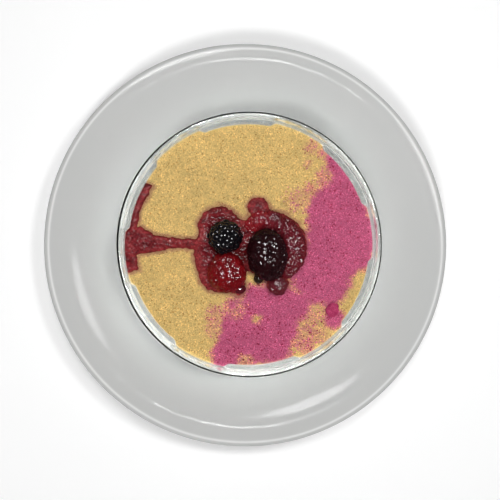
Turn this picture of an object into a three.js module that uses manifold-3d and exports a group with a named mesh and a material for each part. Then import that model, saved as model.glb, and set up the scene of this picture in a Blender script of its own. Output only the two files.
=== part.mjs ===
// A pudding in a clear glass bowl, standing in the well of a white soup plate.
// The pudding is covered with fine crumbs and berry dust, with a puddle of
// berry sauce and soft berries in the middle.
// Millimetres, +Z up. The origin is the middle of the plate's foot.

import * as THREE from 'three';
import { mergeVertices } from 'three/addons/utils/BufferGeometryUtils.js';
import Module from 'manifold-3d';

const wasm = await Module();
wasm.setup();

// ---------------------------------------------------------------- sizes

const GAP = 0.3;                 // clearance between pieces that touch
const FACET_SLACK = 0.15;        // how far a faceted round falls short of a true one
const HOLLOW_SLACK = 0.5;        // the same for the coarse hollows round the berries
const DEG = Math.PI / 180;

// Soup plate.
const PLATE_RADIUS = 115;
const PLATE_RIM_HEIGHT = 25.5;
const PLATE_FLOOR = 5;
const PLATE_FLOOR_RADIUS = 52;
const PLATE_FLOOR_PULL = 57.7;         // radius that draws the bend out of the floor
const PLATE_WALL_FOOT = [66, 8.92];    // the well's sloping wall, from here
const PLATE_WALL_HEAD = [84, 17.38];   // to here
const PLATE_SHOULDER_PULL = [91, 20.67];
const PLATE_SHOULDER = [98, 22.7];     // where the well's wall meets the rim
const PLATE_RIM_PULL = [105.5, 24.88]; // the rim flattens towards its edge
const PLATE_EDGE = 2.6;          // width of the rolled edge
const FOOT_OUTER_RADIUS = 64;
const FOOT_INNER_RADIUS = 59;
const FOOT_RECESS = 1.6;
const PLATE_SEGMENTS = 64;

// Glass bowl.
const BOWL_BASE = PLATE_FLOOR + GAP;
const BOWL_FOOT_RADIUS = 41.5;
const BOWL_FLOOR = BOWL_BASE + 4.7;
const BOWL_RIM_HEIGHT = 54;
const BOWL_RADIUS = 71.9;
const BOWL_MOUTH_RADIUS = 68.3;
const BOWL_WALL_RADIUS = 67.7;   // inside wall, just above the lugs
const BOWL_SEGMENTS = 60;

// Stacking lugs inside the bowl's wall.
const LUG_COUNT = 6;
const LUG_FIRST_ANGLE = 36 * DEG;
const LUG_SPAN = 34 * DEG;
const LUG_TOP = 50.6;
const LUG_BOTTOM = 42;
const LUG_INNER_RADIUS = 65.2;

// Pudding, up to the crumbs.
const PUDDING_LEVEL = 47.5;
const PUDDING_RINGS = 10;
const CRUMB_RELIEF = 0.32;
const CRUMB_BANK = 1.1;          // how far the crumbs climb up the glass
const CALM_RADIUS = 26;          // nearer the middle there is no relief
const CALM_FADE = 9;
const DRIED_CALM = [6, 10];      // round the dried berry the relief fades out

// Berry sauce.
const SAUCE_DEPTH = 1.2;
const SAUCE_EDGE = 2.6;          // width over which the sauce rounds down
const SAUCE_STEP = 3.3;          // mesh size of its top
const SAUCE_BLEND = 3;           // how softly neighbouring lobes flow together
const SAUCE_BOX = { west: -68, east: 35, south: -30, north: 39 };

// Lobes of the puddle: x, y, radius.
const SAUCE_LOBES = [
  [-16.6, 10.0, 11.2],
  [-18.8, -3.0, 12.0],
  [-15.0, -12.8, 13.6],
  [-5.8, -23.9, 3.6],
  [4.9, 19.9, 6.1],
  [12.8, -0.6, 18.6],
  [15.5, -20.6, 6.0],
  [-1.6, 0.6, 12.6],
];

// The trickle that runs to the glass: x, y, half width.
const SAUCE_TRICKLE = [
  [-27, -0.4, 3.2],
  [-33, 0.6, 2.6],
  [-41, 0.6, 2.7],
  [-50, 0.4, 4.0],
  [-60, 1.6, 8.0],
];

// The streak of sauce along the glass.
const STREAK_FROM = 149 * DEG;
const STREAK_TO = 193 * DEG;
const STREAK_WIDTH = 6.4;

// Berries: middle, radii of the flesh, turn about Z, fineness of the mesh,
// and the pitch and the height of the drupelets on the upper side.
const DARK_BRAMBLE = {
  centre: [-13.5, 3.9, 53],
  radii: [8.8, 8.4, 8.4],
  turn: 20 * DEG,
  detail: 5,
  pitch: 3.5,
  height: 1.1,
};
const LARGE_BERRY = {
  centre: [9.4, -5.7, 52.6],
  radii: [10.2, 13.3, 9.0],
  turn: 6 * DEG,
  detail: 6,
  pitch: 3.9,
  height: 1.1,
};
const RASPBERRY = {
  centre: [-12.4, -15.1, 50.6],
  radii: [9.9, 10.2, 6.0],
  turn: 35 * DEG,
  detail: 5,
  pitch: 3.7,
  height: 0.9,
};
const BERRY_LOBE = {
  centre: [15.3, -22.4, 49.6],
  radii: [4.6, 4.4, 3.0],
  turn: 0,
  detail: 3,
  pitch: 3.0,
  height: 0.8,
};
const CLAD_FROM = -0.25;         // the drupelets start this far down, 0 is the middle

// Crushed berry flesh, a horseshoe round the large berry.
const MASH_CENTRE = [8.6, -3.2];
const MASH_RADIUS = 16.0;
const MASH_FROM = 134 * DEG;
const MASH_TO = -60 * DEG;
const MASH_HALF_WIDTH = 5.1;
const MASH_HALF_HEIGHT = 2.8;
const MASH_LEVEL = PUDDING_LEVEL + 0.6;
const MASH_GRAIN_PITCH = 3.2;
const MASH_GRAIN_HEIGHT = 0.9;

// Single small pieces: middle and radii.
const DARK_BEAD = { centre: [4.7, -18.6, 50.4], radii: [2.7, 2.7, 2.4], seed: 5 };
const BERRY_SCRAP = { centre: [-5.0, -24.4, 49.6], radii: [2.8, 2.3, 1.7], seed: 7 };
const DRIED_RASPBERRY = { centre: [44.9, -35.6, 49.0], radii: [3.9, 3.1, 1.4], seed: 3 };
const LUMP_UNEVENNESS = 0.1;

// ---------------------------------------------------------------- helpers

// Repeatable random numbers between 0 and 1.
function randomFrom(seed) {
  let state = seed * 2654435761 % 4294967296;
  return () => {
    state = (state * 1664525 + 1013904223) % 4294967296;
    return state / 4294967296;
  };
}

// Smooth bumps between about -1 and 1, for the crumb relief.
function crumbNoise(x, y) {
  const coarse = Math.sin(x * 0.61 + 1.7 * Math.sin(y * 0.43)) * Math.cos(y * 0.57 - x * 0.21);
  const fine = Math.sin(x * 1.73 + y * 0.9) * Math.sin(y * 1.91 - x * 1.1 + 0.8);
  return 0.55 * coarse + 0.45 * fine;
}

// Only the merged corner points and the faces between them.
function bareMesh(geometry) {
  const bare = geometry.clone();
  bare.deleteAttribute('normal');
  bare.deleteAttribute('uv');
  return mergeVertices(bare, 1e-4);
}

// The faces of a mesh without those whose corners have merged, as happens on
// the axis of a lathe.
function wholeFaces(index) {
  const kept = [];
  for (let i = 0; i < index.length; i += 3) {
    const [a, b, c] = [index[i], index[i + 1], index[i + 2]];
    if (a !== b && b !== c && c !== a) {
      kept.push(a, b, c);
    }
  }
  return Uint32Array.from(kept);
}

// The volume that the faces enclose, less than 0 if they point inwards.
function signedVolume(position, faces) {
  const [a, b, c] = [new THREE.Vector3(), new THREE.Vector3(), new THREE.Vector3()];
  let sum = 0;
  for (let i = 0; i < faces.length; i += 3) {
    a.fromBufferAttribute(position, faces[i]);
    b.fromBufferAttribute(position, faces[i + 1]);
    c.fromBufferAttribute(position, faces[i + 2]);
    sum += a.dot(b.cross(c)) / 6;
  }
  return sum;
}

// A closed geometry as a solid, with its faces pointing out.
function solidOf(geometry) {
  const mesh = bareMesh(geometry);
  const triVerts = wholeFaces(mesh.index.array);
  if (signedVolume(mesh.attributes.position, triVerts) < 0) {
    triVerts.reverse();
  }
  const vertProperties = Float32Array.from(mesh.attributes.position.array);
  return new wasm.Manifold(new wasm.Mesh({ numProp: 3, vertProperties, triVerts }));
}

// The largest piece of a solid as a geometry. Loose scraps are dropped.
function geometryOf(solid) {
  const pieces = solid.decompose();
  pieces.sort((a, b) => b.volume() - a.volume());
  const { vertProperties, triVerts } = pieces[0].getMesh();
  const geometry = new THREE.BufferGeometry();
  geometry.setAttribute('position', new THREE.Float32BufferAttribute(vertProperties, 3));
  geometry.setIndex(new THREE.Uint32BufferAttribute(triVerts, 1));
  return geometry;
}

// A body of revolution about Z from [radius, height] points.
function turned(profile, segments) {
  const points = profile.map(([radius, height]) => new THREE.Vector2(radius, height));
  const geometry = new THREE.LatheGeometry(points, segments);
  geometry.rotateX(Math.PI / 2);
  return geometry;
}

// Points on a bend between two [radius, height] points, drawn to a third one.
function bend(from, towards, to, steps) {
  const ends = [from, towards, to].map(([radius, height]) => new THREE.Vector2(radius, height));
  return new THREE.QuadraticBezierCurve(...ends).getPoints(steps).map(({ x, y }) => [x, y]);
}

// A wedge from the axis outwards, round an angle, over a height range.
function wedge(angle, span, radius, bottom, top) {
  const shape = new THREE.Shape();
  shape.moveTo(0, 0);
  shape.absarc(0, 0, radius, angle - span / 2, angle + span / 2);
  shape.closePath();
  const options = { depth: top - bottom, bevelEnabled: false, curveSegments: 3 };
  const geometry = new THREE.ExtrudeGeometry(shape, options);
  geometry.translate(0, 0, bottom);
  return solidOf(geometry);
}

// An ellipsoid turned about Z.
function ellipsoid({ centre, radii, turn }, grow, across, down) {
  const geometry = new THREE.SphereGeometry(1, across, down);
  geometry.rotateX(Math.PI / 2);
  geometry.scale(...radii.map((radius) => radius + grow));
  geometry.rotateZ(turn);
  geometry.translate(...centre);
  return solidOf(geometry);
}

// ---------------------------------------------------------------- plate

function plateProfile() {
  const [headRadius, headHeight] = PLATE_WALL_HEAD;
  const [shoulderRadius, shoulderHeight] = PLATE_SHOULDER;
  const edge = [PLATE_RADIUS - PLATE_EDGE, PLATE_RIM_HEIGHT];
  const low = [PLATE_FLOOR_RADIUS, PLATE_FLOOR];
  const lower = bend(low, [PLATE_FLOOR_PULL, PLATE_FLOOR], PLATE_WALL_FOOT, 3);
  const upper = bend(PLATE_WALL_HEAD, PLATE_SHOULDER_PULL, PLATE_SHOULDER, 4);
  const rim = bend(PLATE_SHOULDER, PLATE_RIM_PULL, edge, 3);
  const underWall = [headRadius + 1, headHeight - 3.5];
  const underRim = [shoulderRadius + 1, shoulderHeight - 3.8];
  const under = [
    ...bend(underRim, [shoulderRadius - 6.5, shoulderHeight - 5.8], underWall, 3),
    ...bend(underWall, [headRadius - 12, 5.6], [FOOT_OUTER_RADIUS + 1.5, FOOT_RECESS], 3).slice(1),
  ];
  return [
    [0, PLATE_FLOOR],
    ...lower,
    ...upper,
    ...rim.slice(1),
    [PLATE_RADIUS - PLATE_EDGE * 0.3, PLATE_RIM_HEIGHT - 0.5],
    [PLATE_RADIUS, PLATE_RIM_HEIGHT - 1.6],
    [PLATE_RADIUS - 1, PLATE_RIM_HEIGHT - 3],
    ...under,
    [FOOT_OUTER_RADIUS, 0],
    [FOOT_INNER_RADIUS, 0],
    [FOOT_INNER_RADIUS - 1.2, FOOT_RECESS],
    [0, FOOT_RECESS],
  ];
}

function plate() {
  return solidOf(turned(plateProfile(), PLATE_SEGMENTS));
}

// ---------------------------------------------------------------- bowl

// The inside of the bowl from the middle of its floor up to the lip, or a
// line that keeps a clearance from it.
function bowlInside(clearance) {
  const middle = [[0, BOWL_FLOOR], [24, BOWL_FLOOR + 0.1]];
  const body = bend([40, BOWL_FLOOR + 1.2], [63, BOWL_FLOOR + 3.6], [66.4, 38], 4);
  const floor = [...middle, ...body.slice(0, 2)];
  const wall = [...body.slice(2), [BOWL_WALL_RADIUS - 0.3, 44], [BOWL_WALL_RADIUS, 50]];
  return [
    ...floor.map(([radius, height]) => [Math.max(radius - clearance, 0), height + clearance]),
    ...wall.map(([radius, height]) => [radius - clearance, height]),
  ];
}

function bowlProfile() {
  const body = bend([69.6, 38], [66, BOWL_BASE + 7.2], [43.5, BOWL_BASE + 2.1], 4);
  return [
    ...bowlInside(0),
    [BOWL_MOUTH_RADIUS, BOWL_RIM_HEIGHT - 1.4],
    [BOWL_MOUTH_RADIUS + 1.1, BOWL_RIM_HEIGHT],
    [BOWL_RADIUS - 1.1, BOWL_RIM_HEIGHT],
    [BOWL_RADIUS, BOWL_RIM_HEIGHT - 1.4],
    [BOWL_RADIUS - 0.3, BOWL_RIM_HEIGHT - 4],
    [BOWL_RADIUS - 1.4, BOWL_RIM_HEIGHT - 7],
    ...body,
    [BOWL_FOOT_RADIUS, BOWL_BASE],
    [BOWL_FOOT_RADIUS - 4.5, BOWL_BASE],
    [BOWL_FOOT_RADIUS - 6, BOWL_BASE + 1.3],
    [0, BOWL_BASE + 1.5],
  ];
}

// The stacking lugs: pieces of a ring on the inside of the wall.
function lugs(clearance) {
  const inner = LUG_INNER_RADIUS - clearance;
  const outer = BOWL_WALL_RADIUS + 1;
  const ring = solidOf(turned([
    [outer, LUG_BOTTOM - clearance],
    [BOWL_WALL_RADIUS - 1, LUG_BOTTOM - clearance],
    [inner, LUG_BOTTOM + 3.4],
    [inner, LUG_TOP - 3.8],
    [inner + 0.8, LUG_TOP - 1.4 + clearance],
    [inner + 2.2, LUG_TOP + clearance],
    [outer, LUG_TOP + clearance],
    [outer, LUG_BOTTOM - clearance],
  ], BOWL_SEGMENTS));
  const span = LUG_SPAN + 2 * clearance / LUG_INNER_RADIUS;
  const wedges = Array.from({ length: LUG_COUNT }, (_, i) => {
    const angle = LUG_FIRST_ANGLE + i * 2 * Math.PI / LUG_COUNT;
    return wedge(angle, span, PLATE_RADIUS, LUG_BOTTOM - 5, LUG_TOP + 5);
  });
  return ring.intersect(wasm.Manifold.union(wedges));
}

function glassBowl() {
  return solidOf(turned(bowlProfile(), BOWL_SEGMENTS)).add(lugs(0));
}

// ---------------------------------------------------------------- berries

// Middles of the drupelets on an ellipsoid about the origin, set evenly on a
// spiral over its upper side.
function drupeletMiddles({ radii, pitch }) {
  const mean = (radii[0] + radii[1] + radii[2]) / 3;
  const total = Math.round(4 * Math.PI * mean * mean / (0.87 * pitch * pitch));
  const golden = Math.PI * (3 - Math.sqrt(5));
  const middles = [];
  for (let i = 0; i < total; i += 1) {
    const up = 1 - 2 * (i + 0.5) / total;
    const flat = Math.sqrt(1 - up * up);
    if (up > CLAD_FROM) {
      const unit = new THREE.Vector3(flat * Math.cos(golden * i), flat * Math.sin(golden * i), up);
      middles.push(unit.multiply(new THREE.Vector3(...radii)));
    }
  }
  return middles;
}

// How far a point swells out towards the nearest of some middles.
function swelling(point, middles, pitch, height) {
  const nearest = Math.min(...middles.map((middle) => middle.distanceTo(point)));
  return height * Math.max(1 - (nearest / (pitch * 0.6)) ** 2, 0);
}

// An ellipsoid of flesh that swells out into drupelets.
function berry(form) {
  const middles = drupeletMiddles(form);
  const geometry = bareMesh(new THREE.IcosahedronGeometry(1, form.detail));
  geometry.scale(...form.radii);
  const position = geometry.attributes.position;
  const point = new THREE.Vector3();
  for (let i = 0; i < position.count; i += 1) {
    point.fromBufferAttribute(position, i);
    point.setLength(point.length() + swelling(point, middles, form.pitch, form.height));
    position.setXYZ(i, ...point);
  }
  geometry.rotateZ(form.turn);
  geometry.translate(...form.centre);
  return solidOf(geometry);
}

// The hollow in which a berry lies: close round its smooth underside, and
// wider where the drupelets stand out.
function berryHollow(form) {
  const [x, y, z] = form.centre;
  const bottom = z + form.radii[2] * CLAD_FROM - form.pitch / 2;
  const upper = new THREE.BoxGeometry(60, 60, 60);
  upper.translate(x, y, bottom + 30);
  const close = ellipsoid(form, GAP + HOLLOW_SLACK, 14, 8);
  const wide = ellipsoid(form, form.height + GAP + HOLLOW_SLACK, 14, 8);
  return wide.intersect(solidOf(upper)).add(close);
}

// A small uneven lump.
function lump({ centre, radii, seed }, grow) {
  const random = randomFrom(seed);
  const geometry = bareMesh(new THREE.IcosahedronGeometry(1, 1));
  const position = geometry.attributes.position;
  const point = new THREE.Vector3();
  for (let i = 0; i < position.count; i += 1) {
    point.fromBufferAttribute(position, i);
    point.multiplyScalar(1 + LUMP_UNEVENNESS * (2 * random() - 1));
    position.setXYZ(i, ...point);
  }
  geometry.scale(...radii.map((radius) => radius + grow));
  geometry.translate(...centre);
  return solidOf(geometry);
}

// A point in the horseshoe of crushed flesh, from its place along the arc
// (-1 to 1), its distance across, and its height.
function inMash(along, across, up) {
  const angle = (MASH_FROM + MASH_TO) / 2 - along * (MASH_FROM - MASH_TO) / 2;
  const radius = MASH_RADIUS + across;
  return new THREE.Vector3(
    MASH_CENTRE[0] + radius * Math.cos(angle),
    MASH_CENTRE[1] + radius * Math.sin(angle),
    MASH_LEVEL + up,
  );
}

// Middles of the grains on top of the crushed flesh.
function mashGrains() {
  const random = randomFrom(59);
  const length = MASH_RADIUS * (MASH_FROM - MASH_TO);
  const rows = Math.round(length / MASH_GRAIN_PITCH);
  const middles = [];
  for (let row = 0; row < rows; row += 1) {
    for (const side of [-0.62, 0, 0.62]) {
      const along = (row + 0.5 + 0.5 * (random() - 0.5)) / rows * 2 - 1;
      const across = (side + 0.3 * (random() - 0.5)) * MASH_HALF_WIDTH;
      const up = MASH_HALF_HEIGHT * Math.sqrt(1 - (across / MASH_HALF_WIDTH) ** 2);
      middles.push(inMash(along, across, up));
    }
  }
  return middles;
}

// A long rounded body bent along the horseshoe. Its pole-to-pole line runs
// along the arc.
function mash(grow, around, lengthwise, grains) {
  const geometry = bareMesh(new THREE.SphereGeometry(1, around, lengthwise));
  const position = geometry.attributes.position;
  const stretch = 1 + grow / (MASH_RADIUS * (MASH_FROM - MASH_TO) / 2);
  for (let i = 0; i < position.count; i += 1) {
    const along = Math.asin(THREE.MathUtils.clamp(position.getY(i), -1, 1)) / (Math.PI / 2);
    const section = Math.sqrt(1 - along ** 6);
    const round = Math.atan2(position.getZ(i), position.getX(i));
    const across = (MASH_HALF_WIDTH + grow) * section * Math.cos(round);
    const up = (MASH_HALF_HEIGHT + grow) * section * Math.sin(round);
    const point = inMash(along * stretch, across, up);
    if (grains.length > 0 && up > 0) {
      point.z += swelling(point, grains, MASH_GRAIN_PITCH, MASH_GRAIN_HEIGHT);
    }
    position.setXYZ(i, ...point);
  }
  return solidOf(geometry);
}

// ---------------------------------------------------------------- pudding

// How high the crumbs lie above the level, at a point of the surface. They
// are still where the sauce and the dried berry lie on them.
function crumbHeight(x, y) {
  const radius = Math.hypot(x, y);
  const angle = (Math.atan2(y, x) / DEG + 360) % 360;
  const dried = Math.hypot(x - DRIED_RASPBERRY.centre[0], y - DRIED_RASPBERRY.centre[1]);
  const underSauce = x < 0 && (Math.abs(y) < 13 || (radius > 52 && angle > 140 && angle < 202));
  const calm = THREE.MathUtils.smoothstep(radius, CALM_RADIUS, CALM_RADIUS + CALM_FADE);
  const free = calm * THREE.MathUtils.smoothstep(dried, ...DRIED_CALM);
  const relief = underSauce ? 0 : free * CRUMB_RELIEF * (crumbNoise(x, y) - 1);
  const banked = (angle > 218 && angle < 264) || (angle > 318 && angle < 352);
  return relief + (banked ? CRUMB_BANK * THREE.MathUtils.smoothstep(radius, 58, 67) : 0);
}

function puddingBlock() {
  const wall = bowlInside(GAP).filter(([, height]) => height < PUDDING_LEVEL - 2);
  const edge = BOWL_WALL_RADIUS - GAP - FACET_SLACK;
  const top = Array.from({ length: PUDDING_RINGS + 1 }, (_, i) => [
    THREE.MathUtils.lerp(edge, CALM_RADIUS, i / PUDDING_RINGS),
    PUDDING_LEVEL,
  ]);
  const geometry = turned([...wall, ...top, [0, PUDDING_LEVEL]], BOWL_SEGMENTS);
  const position = geometry.attributes.position;
  for (let i = 0; i < position.count; i += 1) {
    if (position.getZ(i) > PUDDING_LEVEL - 0.01) {
      position.setZ(i, PUDDING_LEVEL + crumbHeight(position.getX(i), position.getY(i)));
    }
  }
  return solidOf(geometry);
}

// ---------------------------------------------------------------- sauce

// Distance inside a rounded stretch between two points of changing width.
function insideStretch(x, y, [ax, ay, aWidth], [bx, by, bWidth]) {
  const along = ((x - ax) * (bx - ax) + (y - ay) * (by - ay)) / ((bx - ax) ** 2 + (by - ay) ** 2);
  const t = THREE.MathUtils.clamp(along, 0, 1);
  const away = Math.hypot(x - ax - t * (bx - ax), y - ay - t * (by - ay));
  return THREE.MathUtils.lerp(aWidth, bWidth, t) - away;
}

// Distance inside the streak along the glass.
function insideStreak(x, y) {
  const radius = Math.hypot(x, y);
  const angle = (Math.atan2(y, x) + 2 * Math.PI) % (2 * Math.PI);
  const ends = Math.min(angle - STREAK_FROM, STREAK_TO - angle) * radius;
  return Math.min(radius - (BOWL_WALL_RADIUS - STREAK_WIDTH), ends);
}

// The larger of two distances, rounded where they are alike.
function softMax(a, b, blend) {
  const h = Math.max(blend - Math.abs(a - b), 0) / blend;
  return Math.max(a, b) + h * h * blend * 0.25;
}

// How far inside the sauce's outline a point lies, less than 0 outside.
function insideSauce(x, y) {
  let inside = -100;
  for (const [cx, cy, radius] of SAUCE_LOBES) {
    inside = softMax(inside, radius - Math.hypot(x - cx, y - cy), SAUCE_BLEND);
  }
  for (let i = 1; i < SAUCE_TRICKLE.length; i += 1) {
    inside = softMax(inside, insideStretch(x, y, SAUCE_TRICKLE[i - 1], SAUCE_TRICKLE[i]), 1);
  }
  return softMax(inside, insideStreak(x, y), 1);
}

// Height of the sauce's rounded top over the pudding, less than 0 outside.
function sauceHeight(x, y) {
  const inside = insideSauce(x, y);
  const t = THREE.MathUtils.clamp(inside / SAUCE_EDGE, 0, 1);
  return inside < 0 ? Math.max(inside, -2) : SAUCE_DEPTH * Math.sqrt(1 - (1 - t) ** 2);
}

// A block whose top follows the sauce, cut to a drum that fits in the bowl
// and stands on the pudding.
function sauceBlock() {
  const { west, east, south, north } = SAUCE_BOX;
  const base = PUDDING_LEVEL + GAP;
  const below = 6;
  const geometry = new THREE.BoxGeometry(
    east - west,
    north - south,
    below,
    Math.round((east - west) / SAUCE_STEP),
    Math.round((north - south) / SAUCE_STEP),
    1,
  );
  geometry.translate((east + west) / 2, (north + south) / 2, base - below / 2);
  const position = geometry.attributes.position;
  for (let i = 0; i < position.count; i += 1) {
    if (position.getZ(i) > base - 0.01) {
      position.setZ(i, base + sauceHeight(position.getX(i), position.getY(i)));
    }
  }
  const edge = BOWL_WALL_RADIUS - GAP - FACET_SLACK;
  const top = BOWL_RIM_HEIGHT;
  const drum = solidOf(turned([[0, base], [edge, base], [edge, top], [0, top]], BOWL_SEGMENTS));
  return solidOf(geometry).intersect(drum);
}

// ---------------------------------------------------------------- assembly

const berryHollows = wasm.Manifold.union([
  berryHollow(DARK_BRAMBLE),
  berryHollow(LARGE_BERRY),
  berryHollow(RASPBERRY),
  berryHollow(BERRY_LOBE),
  lump(DARK_BEAD, GAP),
  lump(BERRY_SCRAP, GAP),
]);
const allHollows = berryHollows.add(mash(GAP + HOLLOW_SLACK, 10, 22, [])).add(lugs(GAP));

// Name, solid, colour and roughness of each piece.
const PIECES = [
  ['plate', plate(), 0xe9eae6, 0.15],
  ['glass_bowl', glassBowl(), 0xdfeeee, 0.05],
  ['pudding', puddingBlock().subtract(allHollows).subtract(lump(DRIED_RASPBERRY, GAP)), 0xd7b973, 0.9],
  ['berry_sauce', sauceBlock().subtract(allHollows), 0x7d2230, 0.3],
  ['dark_bramble', berry(DARK_BRAMBLE), 0x15101a, 0.2],
  ['large_dark_berry', berry(LARGE_BERRY).subtract(lump(DARK_BEAD, GAP)), 0x2c0b12, 0.2],
  ['raspberry', berry(RASPBERRY).subtract(berryHollow(DARK_BRAMBLE)), 0x7a0d18, 0.2],
  ['crushed_raspberry', mash(0, 10, 34, mashGrains()).subtract(berryHollows), 0x5d1420, 0.2],
  ['raspberry_lobe', berry(BERRY_LOBE).subtract(berryHollow(LARGE_BERRY)), 0x6a1c28, 0.2],
  ['dark_bead', lump(DARK_BEAD, 0), 0x1d1a0c, 0.2],
  ['berry_scrap', lump(BERRY_SCRAP, 0).subtract(berryHollow(RASPBERRY)), 0x5a1622, 0.3],
  ['dried_raspberry', lump(DRIED_RASPBERRY, 0), 0xb0406c, 0.9],
];

const dessert = new THREE.Group();
for (const [name, solid, color, roughness] of PIECES) {
  const material = new THREE.MeshStandardMaterial({ color, roughness, metalness: 0 });
  const mesh = new THREE.Mesh(geometryOf(solid), material);
  mesh.name = name;
  dessert.add(mesh);
}

export default dessert;
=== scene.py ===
"""Looks of a pudding in a clear glass bowl that stands in the well of a white soup plate.

The pudding is covered with fine golden crumbs and pink berry dust. In its middle lies a
puddle of berry sauce with soft berries, and a trickle of sauce runs to the glass. Sizes are
in millimetres until a mesh is made, which is in metres.
"""

import sys
import functools
import itertools
import logging
import math
from collections.abc import Callable, Iterable
from dataclasses import dataclass, field
from enum import Enum

import bmesh
import bpy
import numpy as np
from mathutils import Matrix, Vector


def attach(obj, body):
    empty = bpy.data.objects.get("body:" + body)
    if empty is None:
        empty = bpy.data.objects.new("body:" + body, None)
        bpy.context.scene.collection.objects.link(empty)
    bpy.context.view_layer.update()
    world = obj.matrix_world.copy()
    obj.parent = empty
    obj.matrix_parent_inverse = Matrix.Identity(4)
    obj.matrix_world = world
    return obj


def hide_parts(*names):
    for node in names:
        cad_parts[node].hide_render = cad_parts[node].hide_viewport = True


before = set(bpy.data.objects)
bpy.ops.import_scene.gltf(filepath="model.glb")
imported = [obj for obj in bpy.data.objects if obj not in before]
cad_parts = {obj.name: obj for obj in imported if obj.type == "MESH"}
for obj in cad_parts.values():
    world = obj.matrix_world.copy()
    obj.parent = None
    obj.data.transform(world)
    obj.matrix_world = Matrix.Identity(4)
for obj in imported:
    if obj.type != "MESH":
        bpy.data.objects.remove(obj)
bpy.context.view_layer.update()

MM = 0.001
LOG = logging.getLogger("dessert")
Colour = tuple[float, float, float]
Place = tuple[float, float]
Point = tuple[float, float, float]
Spot = tuple[float, float, float, float]
Layer = tuple[float, float, int]
WHITE: Colour = (255, 255, 255)
FAR_OUTSIDE = -100.0


# ---------------------------------------------------------------- numbers


def linear(colour: Colour) -> tuple[float, float, float, float]:
    """Turns a colour of 0 to 255 a channel, as a screen shows it, into a linear one.

    Args:
        colour: Red, green and blue, 0 to 255.

    Returns:
        Linear red, green, blue and a full alpha.
    """
    shares = [channel / 255 for channel in colour]
    bent = [s / 12.92 if s <= 0.04045 else ((s + 0.055) / 1.055) ** 2.4 for s in shares]
    return (bent[0], bent[1], bent[2], 1.0)


def linear_rgb(colour: Colour) -> np.ndarray:
    """Gives the linear red, green and blue of a screen colour as an array."""
    return np.array(linear(colour)[:3])


def ramp(value: np.ndarray, low: float, high: float) -> np.ndarray:
    """Rises smoothly from 0 at low to 1 at high.

    Args:
        value: Where to read the ramp.
        low: Where it starts.
        high: Where it ends. It may lie below low.

    Returns:
        The ramp's height at each value.
    """
    share = np.clip((value - low) / (high - low), 0.0, 1.0)
    return share * share * (3 - 2 * share)


def hashed(cells: np.ndarray, seed: int) -> np.ndarray:
    """Gives each whole-number cell its own repeatable number from 0 to 1.

    Args:
        cells: Whole numbers, one row of coordinates a cell.
        seed: Which set of numbers to draw from.

    Returns:
        One number a cell.
    """
    bits = np.full(cells.shape[:-1], seed * 7919 + 17, np.uint64)
    for axis in range(cells.shape[-1]):
        lane = (cells[..., axis].astype(np.int64) & 0xFFFFFFFF).astype(np.uint64)
        bits = (bits ^ lane) * np.uint64(0x9E3779B97F4A7C15)
        bits ^= bits >> np.uint64(29)
    return (bits >> np.uint64(40)) / 2.0**24


def noise(points: np.ndarray, pitch: float, seed: int) -> np.ndarray:
    """Smooth noise between -1 and 1.

    Args:
        points: Places in the plane or in space, one a row.
        pitch: Distance between its independent values.
        seed: Which noise it is.

    Returns:
        The noise at each place.
    """
    scaled = points / pitch
    low = np.floor(scaled).astype(np.int64)
    part = scaled - low
    part = part * part * (3 - 2 * part)
    total = np.zeros(points.shape[:-1])
    for corner in itertools.product((0, 1), repeat=points.shape[-1]):
        step = np.array(corner)
        weight = np.where(step, part, 1 - part).prod(-1)
        total += weight * hashed(low + step, seed)
    return 2 * total - 1


def grains(points: np.ndarray, pitch: float, seed: int) -> np.ndarray:
    """Bumps round scattered middles, 1 in the middle of a grain and 0 between grains.

    Args:
        points: Places in the plane or in space, one a row.
        pitch: Mean distance between grains.
        seed: Which scatter it is.

    Returns:
        The bump at each place.
    """
    scaled = points / pitch
    low = np.floor(scaled).astype(np.int64)
    nearest = np.full(points.shape[:-1], 9.0)
    width = points.shape[-1]
    for corner in itertools.product((-1, 0, 1), repeat=width):
        cell = low + np.array(corner)
        shift = np.stack([hashed(cell, seed + 101 * axis) for axis in range(width)], -1)
        nearest = np.minimum(nearest, ((cell + shift - scaled) ** 2).sum(-1))
    grain_size = 0.62
    return np.sqrt(np.clip(1 - nearest / grain_size, 0.0, 1.0))


def layered(
    points: np.ndarray,
    layers: Iterable[Layer],
    kind: Callable[[np.ndarray, float, int], np.ndarray] = noise,
) -> np.ndarray:
    """Adds up layers of noise or of grains.

    Args:
        points: Places in the plane or in space, one a row.
        layers: Strength, pitch and seed of each layer.
        kind: What makes a layer.

    Returns:
        The sum at each place.
    """
    return sum(strength * kind(points, pitch, seed) for strength, pitch, seed in layers)


def mixed(first: np.ndarray, second: np.ndarray, share: np.ndarray) -> np.ndarray:
    """Goes from first, where the share of a row is 0, to second, where it is 1."""
    return first * (1 - share[..., None]) + second * share[..., None]


def distance(place: np.ndarray, x: float = 0.0, y: float = 0.0) -> np.ndarray:
    """Distance in the plane from each place to a spot."""
    return np.hypot(place[..., 0] - x, place[..., 1] - y)


def bearing(place: np.ndarray) -> np.ndarray:
    """Direction of each place from the middle, in radians."""
    return np.arctan2(place[..., 1], place[..., 0])


def directions(count: int) -> np.ndarray:
    """Angles of directions that are spread evenly round the axis."""
    return np.arange(count) * 2 * math.pi / count


def soft_max(first: np.ndarray, second: np.ndarray, blend: float) -> np.ndarray:
    """The larger of two distances, rounded where they are alike.

    Args:
        first: One distance.
        second: The other distance.
        blend: Difference within which they are rounded together.

    Returns:
        The rounded larger distance.
    """
    share = np.clip(blend - np.abs(first - second), 0.0, None) / blend
    return np.maximum(first, second) + share * share * blend * 0.25


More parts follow.
